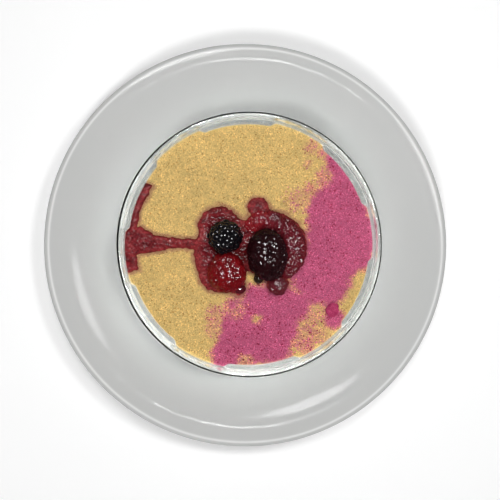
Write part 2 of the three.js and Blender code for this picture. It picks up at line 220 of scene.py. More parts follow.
def bend(start: Place, towards: Place, end: Place, steps: int) -> np.ndarray:
    """Points on a bend between two points, drawn to a third one.

    Args:
        start: First point.
        towards: The point that draws the bend.
        end: Last point.
        steps: Number of stretches.

    Returns:
        The points, one a row, both ends among them.
    """
    share = np.linspace(0, 1, steps + 1)[:, None]
    first, pull, last = (np.array(point, float) for point in (start, towards, end))
    return (1 - share) ** 2 * first + 2 * share * (1 - share) * pull + share**2 * last


def rounded(points: list[Place], fillet: float, steps: int) -> np.ndarray:
    """Rounds the corners of a line.

    Args:
        points: The line's corners.
        fillet: Longest stretch of each side that a corner takes. It takes less than half.
        steps: Stretches in a rounded corner.

    Returns:
        The rounded line's points, with its ends kept.
    """
    line = np.array(points, float)
    result = [line[:1]]
    under_half = 0.48
    for before, corner, after in zip(line[:-2], line[1:-1], line[2:]):
        sides = []
        for other in (before, after):
            away = other - corner
            length = np.linalg.norm(away)
            sides.append(corner + away * min(fillet, length * under_half) / length)
        result.append(bend(sides[0], corner, sides[1], steps))
    return np.vstack([*result, line[-1:]])


# ---------------------------------------------------------------- meshes


@dataclass
class Solid:
    """A closed mesh: points in millimetres, four and three sided faces, and a tint a point."""

    points: np.ndarray
    quads: np.ndarray = field(default_factory=lambda: np.zeros((0, 4), int))
    tris: np.ndarray = field(default_factory=lambda: np.zeros((0, 3), int))
    tint: np.ndarray | None = None

    @staticmethod
    def joined(solids: Iterable["Solid"]) -> "Solid":
        """Puts several solids into one mesh.

        Args:
            solids: The solids. Either all of them have a tint or none has.

        Returns:
            One mesh with all of them.
        """
        solids = list(solids)
        starts = np.cumsum([0] + [len(s.points) for s in solids[:-1]])
        tint = None if solids[0].tint is None else np.vstack([s.tint for s in solids])
        return Solid(
            np.vstack([s.points for s in solids]),
            np.vstack([s.quads + start for s, start in zip(solids, starts)]),
            np.vstack([s.tris + start for s, start in zip(solids, starts)]),
            tint,
        )

    def mesh(self, name: str, smooth: bool) -> bpy.types.Mesh:
        """Makes the Blender mesh, in metres.

        Args:
            name: The mesh's name.
            smooth: Whether its faces are shaded smoothly.

        Returns:
            The mesh.
        """
        made = bpy.data.meshes.new(name)
        made.vertices.add(len(self.points))
        made.vertices.foreach_set("co", (self.points * MM).astype(np.float32).ravel())
        corners = np.concatenate([self.quads.ravel(), self.tris.ravel()])
        starts = np.concatenate([
            np.arange(len(self.quads)) * 4,
            len(self.quads) * 4 + np.arange(len(self.tris)) * 3,
        ])
        made.loops.add(len(corners))
        made.loops.foreach_set("vertex_index", corners.astype(np.int32))
        made.polygons.add(len(starts))
        made.polygons.foreach_set("loop_start", starts.astype(np.int32))
        made.polygons.foreach_set("use_smooth", np.full(len(starts), smooth))
        if self.tint is not None:
            layer = made.color_attributes.new("tint", "FLOAT_COLOR", "POINT")
            full = np.ones((len(self.points), 4), np.float32)
            full[:, :3] = self.tint
            layer.data.foreach_set("color", full.ravel())
        made.update(calc_edges=True)
        made.validate()
        return made


@functools.cache
def ball(level: int) -> tuple[np.ndarray, np.ndarray]:
    """Points and triangles of a round ball with a radius of 1.

    Args:
        level: How often its faces are split. 1 gives 20 faces.

    Returns:
        The points and the triangles.
    """
    shape = bmesh.new()
    bmesh.ops.create_icosphere(shape, subdivisions=level, radius=1.0)
    points = np.array([v.co[:] for v in shape.verts])
    tris = np.array([[v.index for v in f.verts] for f in shape.faces])
    shape.free()
    return points, tris


def sleeve(rings: np.ndarray, ends: np.ndarray, turned: bool = False) -> Solid:
    """A closed body over a row of rings, with a fan to a single point at either end.

    Args:
        rings: Points, one row a ring, with as many points in each.
        ends: The point before the first ring and the point after the last one.
        turned: Whether the rings run the other way, so that the faces have to turn round.

    Returns:
        The body.
    """
    count, around = rings.shape[:2]
    across = np.arange(around)
    ahead = (across + 1) % around
    first, last_ring = count * around, (count - 1) * around
    quads = np.vstack([
        np.stack([low + across, low + around + across, low + around + ahead, low + ahead], -1)
        for low in range(0, last_ring, around)
    ])
    tris = np.vstack([
        np.stack([np.full(around, first), across, ahead], -1),
        np.stack([np.full(around, first + 1), last_ring + ahead, last_ring + across], -1),
    ])
    if turned:
        quads, tris = quads[:, [0, 3, 2, 1]], tris[:, [0, 2, 1]]
    return Solid(np.vstack([rings.reshape(-1, 3), ends]), quads, tris)


def spun(radius: np.ndarray, height: np.ndarray) -> Solid:
    """A closed body round the Z axis.

    Args:
        radius: Radii, one row a point of the outline and one column a direction. The
            outline starts and ends on the axis.
        height: Heights, laid out in the same way.

    Returns:
        The body.
    """
    angles = directions(radius.shape[1])
    rings = np.stack([radius * np.cos(angles), radius * np.sin(angles), height], -1)
    ends = np.array([[0, 0, height[0, 0]], [0, 0, height[-1, 0]]])
    return sleeve(rings[1:-1], ends)


def spun_line(line: np.ndarray, columns: int) -> Solid:
    """A closed body of revolution about Z from an outline of radii and heights.

    Args:
        line: Radius and height of each point, from the axis back to the axis.
        columns: Number of directions round the axis.

    Returns:
        The body.
    """
    spread = np.ones(columns)
    return spun(line[:, :1] * spread, line[:, 1:] * spread)


# ---------------------------------------------------------------- finishes


class Bench:
    """Adds nodes to one node tree and joins them."""

    def __init__(self, tree: bpy.types.NodeTree) -> None:
        """Takes the tree to work on."""
        self.tree = tree

    @staticmethod
    def cleared(owner: bpy.types.Material | bpy.types.World) -> "Bench":
        """Empties the node tree of a material or a world.

        Args:
            owner: The material or the world.

        Returns:
            A bench on its tree.
        """
        owner.use_nodes = True
        owner.node_tree.nodes.clear()
        return Bench(owner.node_tree)

    @staticmethod
    def group(name: str, taken: tuple[str, ...], given: tuple[str, ...]) -> "Bench":
        """Starts a node group.

        Args:
            name: Its name.
            taken: Names of its inputs. One that ends in Colour is a colour, others are numbers.
            given: Names of its outputs, in the same way.

        Returns:
            A bench on its tree.
        """
        tree = bpy.data.node_groups.new(name, "ShaderNodeTree")
        for titles, way in ((taken, "INPUT"), (given, "OUTPUT")):
            for title in titles:
                kind = "NodeSocketColor" if title.endswith("Colour") else "NodeSocketFloat"
                tree.interface.new_socket(title, in_out=way, socket_type=kind)
        return Bench(tree)

    def add(self, kind: str, inputs: dict | None = None, **settings: object) -> bpy.types.Node:
        """Adds one node.

        Args:
            kind: The node's type, without the word ShaderNode.
            inputs: A number, colour or socket for each named or numbered input.
            settings: Values for the node's own settings.

        Returns:
            The node.
        """
        node = self.tree.nodes.new("ShaderNode" + kind)
        for key, value in settings.items():
            setattr(node, key, value)
        for key, value in (inputs or {}).items():
            if isinstance(value, bpy.types.NodeSocket):
                self.tree.links.new(value, node.inputs[key])
            else:
                node.inputs[key].default_value = value
        return node

    def math(self, operation: str, first: object, second: object) -> bpy.types.NodeSocket:
        """Adds one Math node and gives its result."""
        return self.add("Math", {0: first, 1: second}, operation=operation).outputs[0]

    def give(self, *results: bpy.types.NodeSocket) -> bpy.types.NodeTree:
        """Joins results to a group's outputs.

        Args:
            results: One socket for each output, in order.

        Returns:
            The group's tree.
        """
        out = self.tree.nodes.new("NodeGroupOutput")
        for result, socket in zip(results, out.inputs):
            self.tree.links.new(result, socket)
        return self.tree

    def grained(self, pitch: float, relief: float, smooth: float, dull: float) -> dict:
        """Adds the shared grain with its bump.

        Args:
            pitch: Distance between its bumps.
            relief: Their height.
            smooth: Roughness where the surface is smoothest.
            dull: Roughness where it is dullest.

        Returns:
            The sockets for a shader's Roughness and Normal.
        """
        inputs = {"Scale": 1 / (pitch * MM), "Smooth": smooth, "Dull": dull}
        grain = self.add("Group", inputs, node_tree=grain_group()).outputs
        bump = self.add("Bump", {"Height": grain["Height"], "Distance": relief * MM, "Strength": 1.0})
        return {"Roughness": grain["Roughness"], "Normal": bump.outputs[0]}


@functools.cache
def mottle_group() -> bpy.types.NodeTree:
    """The shared effect that shades a colour unevenly in patches and in fine specks.

    Returns:
        A node group with Colour, Other Colour, and a Scale and a Share for Patch and for
        Speck in, and Colour out.
    """
    taken = ("Colour", "Other Colour", "Patch Scale", "Speck Scale", "Patch Share", "Speck Share")
    bench = Bench.group("mottle", taken, ("Colour",))
    given = bench.tree.nodes.new("NodeGroupInput").outputs
    place = bench.add("TexCoord").outputs["Object"]
    shares = []
    for part, detail in (("Patch", 3.0), ("Speck", 1.0)):
        inputs = {"Vector": place, "Scale": given[part + " Scale"], "Detail": detail}
        cloud = bench.add("TexNoise", inputs).outputs[0]
        sharp = bench.add("MapRange", {"Value": cloud, "From Min": 0.32, "From Max": 0.68})
        shares.append(bench.math("MULTIPLY", sharp.outputs[0], given[part + " Share"]))
    both = bench.add("Math", {0: shares[0], 1: shares[1]}, operation="ADD", use_clamp=True)
    mix = bench.add("Mix", {0: both.outputs[0], 6: given[0], 7: given[1]}, data_type="RGBA")
    return bench.give(mix.outputs[2])


@functools.cache
def grain_group() -> bpy.types.NodeTree:
    """The shared effect of a fine relief, such as grain, pulp or a wavy glaze.

    Returns:
        A node group with Scale, Smooth and Dull in, and Height and Roughness out.
    """
    bench = Bench.group("grain", ("Scale", "Smooth", "Dull"), ("Height", "Roughness"))
    given = bench.tree.nodes.new("NodeGroupInput").outputs
    place = bench.add("TexCoord").outputs["Object"]
    third = bench.math("MULTIPLY", given["Scale"], 0.31)
    cloud, swell = (
        bench.add("TexNoise", {"Vector": place, "Scale": scale, "Detail": detail}).outputs[0]
        for scale, detail in ((given["Scale"], 2.0), (third, 1.0))
    )
    height = bench.math("ADD", cloud, swell)
    spread = bench.math("SUBTRACT", given["Dull"], given["Smooth"])
    rough = bench.math("MULTIPLY", swell, spread)
    return bench.give(height, bench.math("ADD", rough, given["Smooth"]))


@dataclass(frozen=True)
class Finish:
    """A solid finish with uneven colour, a fine relief and uneven gloss.

    Patches and specks of the other colour lie over the colour, each with a size and a share.
    Grain is the pitch of the relief, and smooth and dull are the least and most roughness.
    The colours are multiplied by the mesh's tint where tinted is set.
    """

    name: str
    colour: Colour
    other: Colour
    patch: float
    speck: float
    patch_share: float
    speck_share: float
    grain: float
    relief: float
    smooth: float
    dull: float
    tinted: bool = False
    coat: float = 0.0
    coat_rough: float = 0.12
    coat_index: float = 1.7
    index: float = 1.45
    specular: float = 0.03
    flesh: float = 0.0
    flesh_depth: Point = (1.0, 0.3, 0.2)
    flesh_scale: float = 1.5
    glow: float = 0.0

    def material(self) -> bpy.types.Material:
        """Makes the material.

        Returns:
            The material.
        """
        made = bpy.data.materials.new(self.name)
        bench = Bench.cleared(made)
        colours: list[object] = [linear(self.colour), linear(self.other)]
        if self.tinted:
            tint = bench.add("Attribute", attribute_name="tint").outputs["Color"]
            mixes = [{0: 1.0, 6: tint, 7: colour} for colour in colours]
            kind = {"data_type": "RGBA", "blend_type": "MULTIPLY"}
            colours = [bench.add("Mix", inputs, **kind).outputs[2] for inputs in mixes]
        mottle = bench.add("Group", {
            "Colour": colours[0],
            "Other Colour": colours[1],
            "Patch Scale": 1 / (self.patch * MM),
            "Speck Scale": 1 / (self.speck * MM),
            "Patch Share": self.patch_share,
            "Speck Share": self.speck_share,
        }, node_tree=mottle_group())
        shader = bench.add("BsdfPrincipled", {
            "Base Color": mottle.outputs[0],
            **bench.grained(self.grain, self.relief, self.smooth, self.dull),
            "IOR": self.index,
            "Specular IOR Level": self.specular,
            "Coat Weight": self.coat,
            "Coat Roughness": self.coat_rough,
            "Coat IOR": self.coat_index,
            "Subsurface Weight": self.flesh,
            "Subsurface Radius": self.flesh_depth,
            "Subsurface Scale": self.flesh_scale * MM,
            "Emission Color": linear(WHITE),
            "Emission Strength": self.glow,
        })
        bench.add("OutputMaterial", {"Surface": shader.outputs[0]})
        return made


@dataclass(frozen=True)
class GlassFinish:
    """Clear pressed glass with slight waves. Light passes straight through it onto the plate."""

    name: str = "clear_glass"
    colour: Colour = (246, 252, 250)
    shadow: Colour = (250, 252, 251)
    index: float = 1.5
    wave: float = 9.0
    relief: float = 0.05
    smooth: float = 0.0
    dull: float = 0.03

    def material(self) -> bpy.types.Material:
        """Makes the material.

        Returns:
            The material.
        """
        made = bpy.data.materials.new(self.name)
        bench = Bench.cleared(made)
        glass = bench.add("BsdfPrincipled", {
            "Base Color": linear(self.colour),
            **bench.grained(self.wave, self.relief, self.smooth, self.dull),
            "IOR": self.index,
            "Transmission Weight": 1.0,
        })
        clear = bench.add("BsdfTransparent", {"Color": linear(self.shadow)})
        shadow = bench.add("LightPath").outputs["Is Shadow Ray"]
        mix = bench.add("MixShader", {0: shadow, 1: glass.outputs[0], 2: clear.outputs[0]})
        bench.add("OutputMaterial", {"Surface": mix.outputs[0]})
        return made


def placed(
    name: str,
    solid: Solid,
    finish: Finish | GlassFinish,
    replaced: str | None = None,
    smooth: bool = True,
) -> bpy.types.Object:
    """Makes one piece of the dessert and ties it to the frame.

    Args:
        name: The piece's name.
        solid: Its shape.
        finish: What it is dressed in.
        replaced: The CAD node that it stands for, if any.
        smooth: Whether its faces are shaded smoothly.

    Returns:
        The piece.
    """
    piece = bpy.data.objects.new(name, solid.mesh(name, smooth))
    bpy.context.scene.collection.objects.link(piece)
    piece.data.materials.append(finish.material())
    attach(piece, "root")
    if replaced:
        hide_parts(replaced)
    count = 2 * len(solid.quads) + len(solid.tris)
    LOG.info("%s: %d triangles", name, count)
    return piece


# ---------------------------------------------------------------- plate


@dataclass
class SoupPlate:
    """The white soup plate with its wide rim and rolled edge. Its outline's points are
    radii and heights, and a pull is the point that draws a bend."""

    radius: float = 115.0
    rim_height: float = 25.5
    floor: float = 5.0
    floor_radius: float = 52.0
    floor_pull: float = 57.7
    wall_foot: Place = (66.0, 8.92)
    wall_head: Place = (84.0, 17.38)
    shoulder_pull: Place = (91.0, 20.67)
    shoulder: Place = (98.0, 22.7)
    rim_pull: Place = (105.5, 24.88)
    edge: float = 2.6
    roll: tuple[Place, ...] = ((114.22, 25.0), (115.0, 23.9), (114.0, 22.5))
    under_rim: Place = (99.0, 18.9)
    under_rim_pull: Place = (91.5, 16.9)
    under_wall: Place = (85.0, 13.88)
    under_wall_pull: Place = (72.0, 5.6)
    foot_flare: float = 1.5
    foot_outer: float = 64.0
    foot_inner: float = 59.0
    foot_slope: float = 1.2
    recess: float = 1.6
    fillet: float = 1.6
    columns: int = 176
    # Painted highlight: a pale line in the plate's tint along the rolled edge, standing in for the
    # lamps' glint on its crest.
    painted_highlight: float = 0.45
    painted_highlight_inset: float = 0.3
    painted_highlight_width: float = 0.7
    finish: Finish = Finish(
        "plate_glaze", (191, 191, 190), (187, 188, 187),
        patch=70.0, speck=9.0, patch_share=0.6, speck_share=0.1,
        grain=22.0, relief=0.16, smooth=0.06, dull=0.09, tinted=True, specular=0.02,
    )

    def line(self) -> np.ndarray:
        """Gives the plate's outline, from the middle of its floor round to its underside.

        Returns:
            Radius and height of each point.
        """
        edge = (self.radius - self.edge, self.rim_height)
        foot_top = (self.foot_outer + self.foot_flare, self.recess)
        return rounded([
            (0, self.floor),
            *bend((self.floor_radius, self.floor), (self.floor_pull, self.floor), self.wall_foot, 12),
            *bend(self.wall_head, self.shoulder_pull, self.shoulder, 14),
            *bend(self.shoulder, self.rim_pull, edge, 14)[1:],
            *self.roll,
            *bend(self.under_rim, self.under_rim_pull, self.under_wall, 8),
            *bend(self.under_wall, self.under_wall_pull, foot_top, 10)[1:],
            (self.foot_outer, 0),
            (self.foot_inner, 0),
            (self.foot_inner - self.foot_slope, self.recess),
            (0, self.recess),
        ], self.fillet, 4)

    def build(self) -> bpy.types.Object:
        """Makes the plate, with a painted highlight: a paler line in the glaze's tint beside its
        edge, where the rolled edge's crest catches the lamps.

        Returns:
            The plate.
        """
        solid = spun_line(self.line(), self.columns)
        # Painted highlight: lightens the tint in a thin ring beside the edge, on the rim's top only.
        line_radius = self.radius - self.edge - self.painted_highlight_inset
        beside = (distance(solid.points) - line_radius) / self.painted_highlight_width
        on_top = solid.points[:, 2] > self.rim_height - 1.0
        painted_highlight = np.where(on_top, np.exp(-(beside**2)), 0)
        solid.tint = 1 + self.painted_highlight * np.repeat(painted_highlight[:, None], 3, axis=1)
        return placed("soup_plate", solid, self.finish, "plate")


# ---------------------------------------------------------------- bowl


@dataclass
class GlassBowl:
    """The clear bowl with its rounded lip and six stacking lugs inside the wall. Its
    outlines are radii and heights."""

    wall_radius: float = 67.7
    inner_floor: tuple[Place, ...] = ((0.0, 10.0), (24.0, 10.1))
    inner_bend: tuple[Place, ...] = ((40.0, 11.2), (63.0, 13.6), (66.4, 38.0))
    upper_wall: tuple[Place, ...] = (
        (66.6, 42.0), (66.95, 44.2), (67.35, 47.0), (67.6, 49.2),
        (67.66, 50.1), (67.7, 50.6), (67.72, 51.0),
    )
    lug_wall: tuple[Place, ...] = (
        (66.7, 42.0), (65.5, 44.6), (65.2, 46.6), (65.45, 48.0),
        (66.0, 49.2), (66.8, 50.1), (67.6, 50.7),
    )
    lip: tuple[Place, ...] = (
        (67.8, 51.4), (68.3, 52.6), (69.4, 54.0), (70.8, 54.0),
        (71.9, 52.6), (71.6, 50.0), (70.5, 47.0),
    )
    outer_bend: tuple[Place, ...] = ((69.6, 38.0), (66.0, 12.5), (43.5, 7.4))
    foot: tuple[Place, ...] = ((41.5, 5.3), (37.0, 5.3), (35.5, 6.6), (0.0, 6.8))
    inner_fillet: float = 0.8
    outer_fillet: float = 1.3
    bend_steps: int = 22
    lug_count: int = 6
    lug_first: float = math.radians(36)
    lug_span: float = math.radians(34)
    lug_fade: float = math.radians(1.6)
    columns: int = 480
    finish: GlassFinish = GlassFinish()

    def inner_wall(self) -> list[np.ndarray]:
        """Outlines of the inner wall from the floor's middle up to the lip.

        Returns:
            The outline between two lugs, and the outline through a lug, point for point.
        """
        body = bend(*self.inner_bend, self.bend_steps)
        low = rounded([*self.inner_floor, *body[:2]], self.inner_fillet, 3)
        return [
            np.vstack([low, body[2:-2], rounded([*body[-2:], *high], self.inner_fillet, 3)])
            for high in (self.upper_wall, self.lug_wall)
        ]

    def lugs(self, angle: np.ndarray) -> np.ndarray:
        """How far a direction lies in a lug.

        Args:
            angle: The directions.

        Returns:
            0 between lugs, 1 in a lug and the steps between for each direction.
        """
        step = 2 * math.pi / self.lug_count
        away = np.abs((angle - self.lug_first + step / 2) % step - step / 2)
        return 1 - ramp(away, self.lug_span / 2 - self.lug_fade, self.lug_span / 2 + self.lug_fade)

    def inside(self, angle: np.ndarray) -> tuple[np.ndarray, np.ndarray]:
        """The inner wall's outline in each direction.

        Args:
            angle: The directions.

        Returns:
            Radii and heights, one row a point of the outline and one column a direction.
        """
        plain, lug = self.inner_wall()
        both = mixed(plain[:, None, :], lug[:, None, :], self.lugs(angle))
        return both[..., 0], both[..., 1]

    def reach(self, angle: np.ndarray, height: float) -> np.ndarray:
        """The inner wall's radius at a height, in each direction.

        Args:
            angle: The directions.
            height: The height.

        Returns:
            The radii.
        """
        plain, lug = (np.interp(height, line[:, 1], line[:, 0]) for line in self.inner_wall())
        share = self.lugs(angle)
        return plain * (1 - share) + lug * share

    def outer_line(self) -> np.ndarray:
        """The lip and the outside, from just above the lugs down to the underside's middle.

        Returns:
            Radius and height of each point.
        """
        body = bend(*self.outer_bend, self.bend_steps)
        lip = rounded([*self.lip, *body[:2]], self.outer_fillet, 5)
        foot = rounded([*body[-2:], *self.foot], self.outer_fillet, 5)
        return np.vstack([lip, body[2:-2], foot])

    def build(self) -> bpy.types.Object:
        """Makes the bowl.

        Returns:
            The bowl.
        """
        radius, height = self.inside(directions(self.columns))
        outer = self.outer_line()
        spread = np.ones(self.columns)
        solid = spun(
            np.vstack([radius, outer[:, :1] * spread]),
            np.vstack([height, outer[:, 1:] * spread]),
        )
        return placed("clear_bowl", solid, self.finish, "glass_bowl")


# ---------------------------------------------------------------- sauce


@dataclass
class SaucePool:
    """The puddle of berry sauce, its trickle to the glass and the streak along the glass."""

    bowl: GlassBowl
    base: float = 47.2
    top: float = 48.8
    edge: float = 2.6
    edge_lift: float = 0.02
    skirt: float = 0.4
    grip: float = 0.12
    step: float = 0.38
    across: Place = (-70.0, 36.0)
    along: Place = (-31.0, 40.0)
    blend: float = 3.0
    join: float = 1.0
    streak_from: float = math.radians(149)
    streak_to: float = math.radians(193)
    streak_width: float = 6.4
    lobes: tuple[Point, ...] = (
        (-16.6, 10.0, 11.2), (-18.8, -3.0, 12.0), (-15.0, -12.8, 13.6), (-5.8, -23.9, 3.6),
        (4.9, 19.9, 6.1), (12.8, -0.6, 18.6), (15.5, -20.6, 6.0), (-1.6, 0.6, 12.6),
    )
    trickle: tuple[Point, ...] = (
        (-27.0, -0.4, 3.2), (-33.0, 0.6, 2.6), (-41.0, 0.6, 2.7), (-50.0, 0.4, 4.0),
        (-60.0, 1.6, 8.0),
    )
    well_reach: Place = (1.2, 0.3)
    wells: tuple[Point, ...] = (
        (-3.6, -5.5, 6.0), (-6.0, -14.0, 5.0), (-16.0, -5.0, 6.0), (3.0, 10.0, 5.0),
    )
    thin: Colour = (152, 58, 60)
    deep: Colour = (114, 26, 34)
    well: Colour = (84, 6, 10)
    ragged: tuple[Layer, ...] = ((0.5, 5.5, 21), (0.55, 1.9, 22))
    pulp: tuple[Layer, ...] = ((0.42, 1.3, 31), (0.26, 0.8, 32))
    sag: tuple[Layer, ...] = ((0.25, 4.0, 33),)
    sunk: float = 0.56
    shallow: tuple[Layer, ...] = ((1.6, 4.0, 41),)
    depths: Place = (0.3, 6.5)
    trickle_from: Place = (-27.0, -33.0)
    trickle_fade: float = 0.45
    trickle_depth: float = 0.25
    fine: tuple[Layer, ...] = ((0.45, 0.9, 42), (0.28, 2.1, 43))
    finish: Finish = Finish(
        "berry_sauce", WHITE, (170, 140, 146),
        patch=5.0, speck=0.7, patch_share=0.4, speck_share=0.6,
        grain=0.6, relief=0.12, smooth=0.6, dull=0.8, tinted=True,
        coat=0.10, coat_index=1.5, specular=0.02,
    )

    def inside(self, place: np.ndarray) -> np.ndarray:
        """How far inside the sauce's outline a place lies, less than 0 outside.

        Args:
            place: Places in the plane, one a row.

        Returns:
            The distance of each.
        """
        found = np.full(place.shape[:-1], FAR_OUTSIDE)
        for x, y, radius in self.lobes:
            found = soft_max(found, radius - distance(place, x, y), self.blend)
        for (x, y, width), (end_x, end_y, end_width) in zip(self.trickle, self.trickle[1:]):
            course = np.array([end_x - x, end_y - y])
            share = np.clip((place - [x, y]) @ course / (course @ course), 0.0, 1.0)
            away = distance(place - share[..., None] * course, x, y)
            found = soft_max(found, width + (end_width - width) * share - away, self.join)
        radius = distance(place)
        angle = bearing(place) % (2 * math.pi)
        ends = np.minimum(angle - self.streak_from, self.streak_to - angle) * radius
        streak = np.minimum(radius - (self.bowl.wall_radius - self.streak_width), ends)
        return soft_max(found, streak, self.join) + layered(place, self.ragged)

    def bounded(self, place: np.ndarray) -> np.ndarray:
        """How far inside the outline a place lies, where the glass bounds it too.

        Args:
            place: Places in the plane, one a row.

        Returns:
            The distance of each.
        """
        glass_height = self.base + 0.6
        wall = self.bowl.reach(bearing(place), glass_height) + self.grip
        return np.minimum(self.inside(place), wall - distance(place))

    def surface(self, place: np.ndarray) -> np.ndarray:
        """Height of the sauce's uneven top.

        Args:
            place: Places inside it, one a row.

        Returns:
            The height at each.
        """
        share = np.clip(self.inside(place) / self.edge, 0.0, 1.0)
        dome = np.sqrt(1 - (1 - share) ** 2)
        uneven = layered(place, self.pulp, grains) + layered(place, self.sag) - self.sunk
        return self.base + (self.top - self.base + uneven) * dome

    def solid(self) -> Solid:
        """The sauce as one closed slab, cut from a fine grid along its outline.

        Returns:
            The slab with its tint.
        """
        lines = [np.arange(*reach, self.step) for reach in (self.across, self.along)]
        place = np.stack(np.meshgrid(*lines, indexing="ij"), -1)
        wet = self.bounded(place) > 0
        corner = np.arange(wet.size).reshape(wet.shape)
        near = wet[:-1, :-1] & wet[1:, :-1] & wet[1:, 1:] & wet[:-1, 1:]
        cells = np.stack([corner[:-1, :-1], corner[1:, :-1], corner[1:, 1:], corner[:-1, 1:]], -1)
        cells = self._largest(near, cells)
        used, index = np.unique(cells, return_inverse=True)
        cells = index.reshape(cells.shape)
        flat = place.reshape(-1, 2)[used]
        edges = np.concatenate([cells[:, [i, (i + 1) % 4]] for i in range(4)])
        keys = edges[:, 0].astype(np.int64) * len(flat) + edges[:, 1]
        back = edges[:, 1].astype(np.int64) * len(flat) + edges[:, 0]
        border = edges[~np.isin(keys, back)]
        rim = np.unique(border)
        flat[rim] = self._snapped(flat[rim])
        count = len(flat)
        top = np.column_stack([flat, self.surface(flat)])
        top[rim, 2] = self.base + self.edge_lift
        bottom = np.column_stack([flat, np.full(count, self.base - self.skirt)])
        starts, ends = border.T
        walls = np.column_stack([starts, starts + count, ends + count, ends])
        quads = np.vstack([cells, cells[:, ::-1] + count, walls])
        shade = self.shade(flat)
        return Solid(np.vstack([top, bottom]), quads, tint=np.vstack([shade, shade]))

    def _largest(self, near: np.ndarray, cells: np.ndarray) -> np.ndarray:
        """Keeps the grid cells that hang together by their sides.

        Args:
            near: Which cells lie in the sauce.
            cells: The corners of each cell.

        Returns:
            The corners of the cells in the largest connected patch.
        """
        labels = np.where(near, np.arange(near.size).reshape(near.shape), -1)
        while True:
            padded = np.pad(labels, 1, constant_values=-1)
            around = [padded[2:, 1:-1], padded[:-2, 1:-1], padded[1:-1, 2:], padded[1:-1, :-2]]
            grown = np.where(near, np.maximum.reduce([labels, *around]), -1)
            while True:
                jumped = np.where(near, grown.ravel()[np.clip(grown, 0, None)], -1)
                if (jumped == grown).all():
                    break
                grown = jumped
            if (grown == labels).all():
                break
            labels = grown
        names, counts = np.unique(labels[near], return_counts=True)
        return cells[labels == names[counts.argmax()]]

    def _snapped(self, flat: np.ndarray) -> np.ndarray:
        """Moves places near the outline onto it, by less than half a cell.

        Args:
            flat: The places.

        Returns:
            The places on the outline.
        """
        start = flat.copy()
        probe, least_steep, pull, under_half = 0.05, 0.3, 0.7, 0.45
        for _ in range(3):
            value = self.bounded(flat)
            slope = np.stack([
                (self.bounded(flat + shift) - self.bounded(flat - shift)) / (2 * probe)
                for shift in (np.array([probe, 0.0]), np.array([0.0, probe]))
            ], -1)
            steep = np.clip((slope**2).sum(-1), least_steep, None)
            flat = flat - pull * (value / steep)[:, None] * slope
            away = flat - start
            far = np.maximum(distance(away)[:, None], 1e-9)
            flat = start + away * np.minimum(1.0, under_half * self.step / far)
        return flat

    def shade(self, flat: np.ndarray) -> np.ndarray:
        """The sauce's colour, mauve where it is thin and dark red where it is deep.

        Args:
            flat: Places in the plane, one a row.

        Returns:
            The colour at each.
        """
        depth = ramp(self.inside(flat) + layered(flat, self.shallow), *self.depths)
        trickle = ramp(flat[:, 0], *self.trickle_from)
        depth = depth * (1 - self.trickle_fade * trickle) + self.trickle_depth * trickle
        shade = mixed(linear_rgb(self.thin), linear_rgb(self.deep), depth)
        for x, y, radius in self.wells:
            near = ramp(distance(flat, x, y), *(radius * share for share in self.well_reach))
            shade = mixed(shade, linear_rgb(self.well), near)
        return shade * (1 + layered(flat, self.fine))[:, None]

    def build(self) -> bpy.types.Object:
        """Makes the sauce."""
        return placed("sauce_pool", self.solid(), self.finish, "berry_sauce")


# ---------------------------------------------------------------- pudding and crumbs


@dataclass
class BerryDust:
    """Where pink berry dust covers the crumbs."""

    drifts: tuple[Point, ...] = (
        (49.0, 44.0, 8.0), (54.0, 31.0, 12.5), (47.5, 16.0, 16.5), (49.0, -2.0, 19.5),
        (57.0, 6.0, 13.5), (37.0, -16.0, 14.5), (43.0, -24.0, 10.5), (44.5, -39.5, 6.5),
        (25.0, -34.0, 8.5), (12.0, -36.0, 15.5), (3.0, -29.0, 6.5), (12.0, -50.0, 14.5),
        (-2.0, -52.0, 14.5), (-10.0, -60.0, 11.0), (-6.0, -43.0, 10.0),
    )
    bare: tuple[Point, ...] = (
        (37.0, -36.5, 4.6), (36.0, -43.0, 5.0), (32.0, -51.0, 6.0), (28.5, -57.0, 5.0),
        (40.0, -52.0, 6.0), (4.5, -40.0, 1.6), (-2.5, -64.0, 3.0), (62.0, -22.0, 7.5),
    )
    mixed: tuple[Spot, ...] = (
        (26.0, 24.0, 7.5, 0.26), (33.0, 31.0, 4.0, 0.45), (40.5, 37.0, 5.5, 0.45),
        (40.0, 50.0, 3.5, 0.5), (34.0, 53.0, 5.0, 0.25), (32.0, 44.0, 3.0, 0.25),
        (61.0, 36.0, 4.5, 0.6), (64.0, 26.0, 4.0, 0.7), (36.5, -38.0, 5.0, 0.28),
        (33.0, -47.0, 6.0, 0.5), (30.0, -54.0, 6.5, 0.45), (40.0, -50.0, 5.0, 0.3),
        (-8.0, -34.0, 7.0, 0.68), (-19.0, -38.0, 6.0, 0.36), (-20.0, -47.0, 5.0, 0.34),
        (-2.5, -63.5, 4.0, 0.45),
    )
    ragged: tuple[Layer, ...] = ((1.3, 7.0, 51), (1.2, 2.6, 52))
    patchy: tuple[Layer, ...] = ((0.5, 2.4, 53),)
    blend: float = 4.0
    fade: float = 2.6
    mixed_reach: Place = (1.3, 0.4)

    def share(self, place: np.ndarray) -> np.ndarray:
        """The share of pink crumbs.

        Args:
            place: Places in the plane, one a row.

        Returns:
            The share at each, from 0 to 1.
        """
        found = np.full(place.shape[:-1], FAR_OUTSIDE)
        for x, y, radius in self.drifts:
            found = soft_max(found, radius - distance(place, x, y), self.blend)
        for x, y, radius in self.bare:
            found = np.minimum(found, distance(place, x, y) - radius)
        share = ramp(found + layered(place, self.ragged), -self.fade, self.fade)
        patchy = 1 + layered(place, self.patchy)
        for x, y, radius, level in self.mixed:
            near = ramp(distance(place, x, y), *(radius * share for share in self.mixed_reach))
            share = share * (1 - near) + level * patchy * near
        return np.clip(share, 0.0, 1.0)


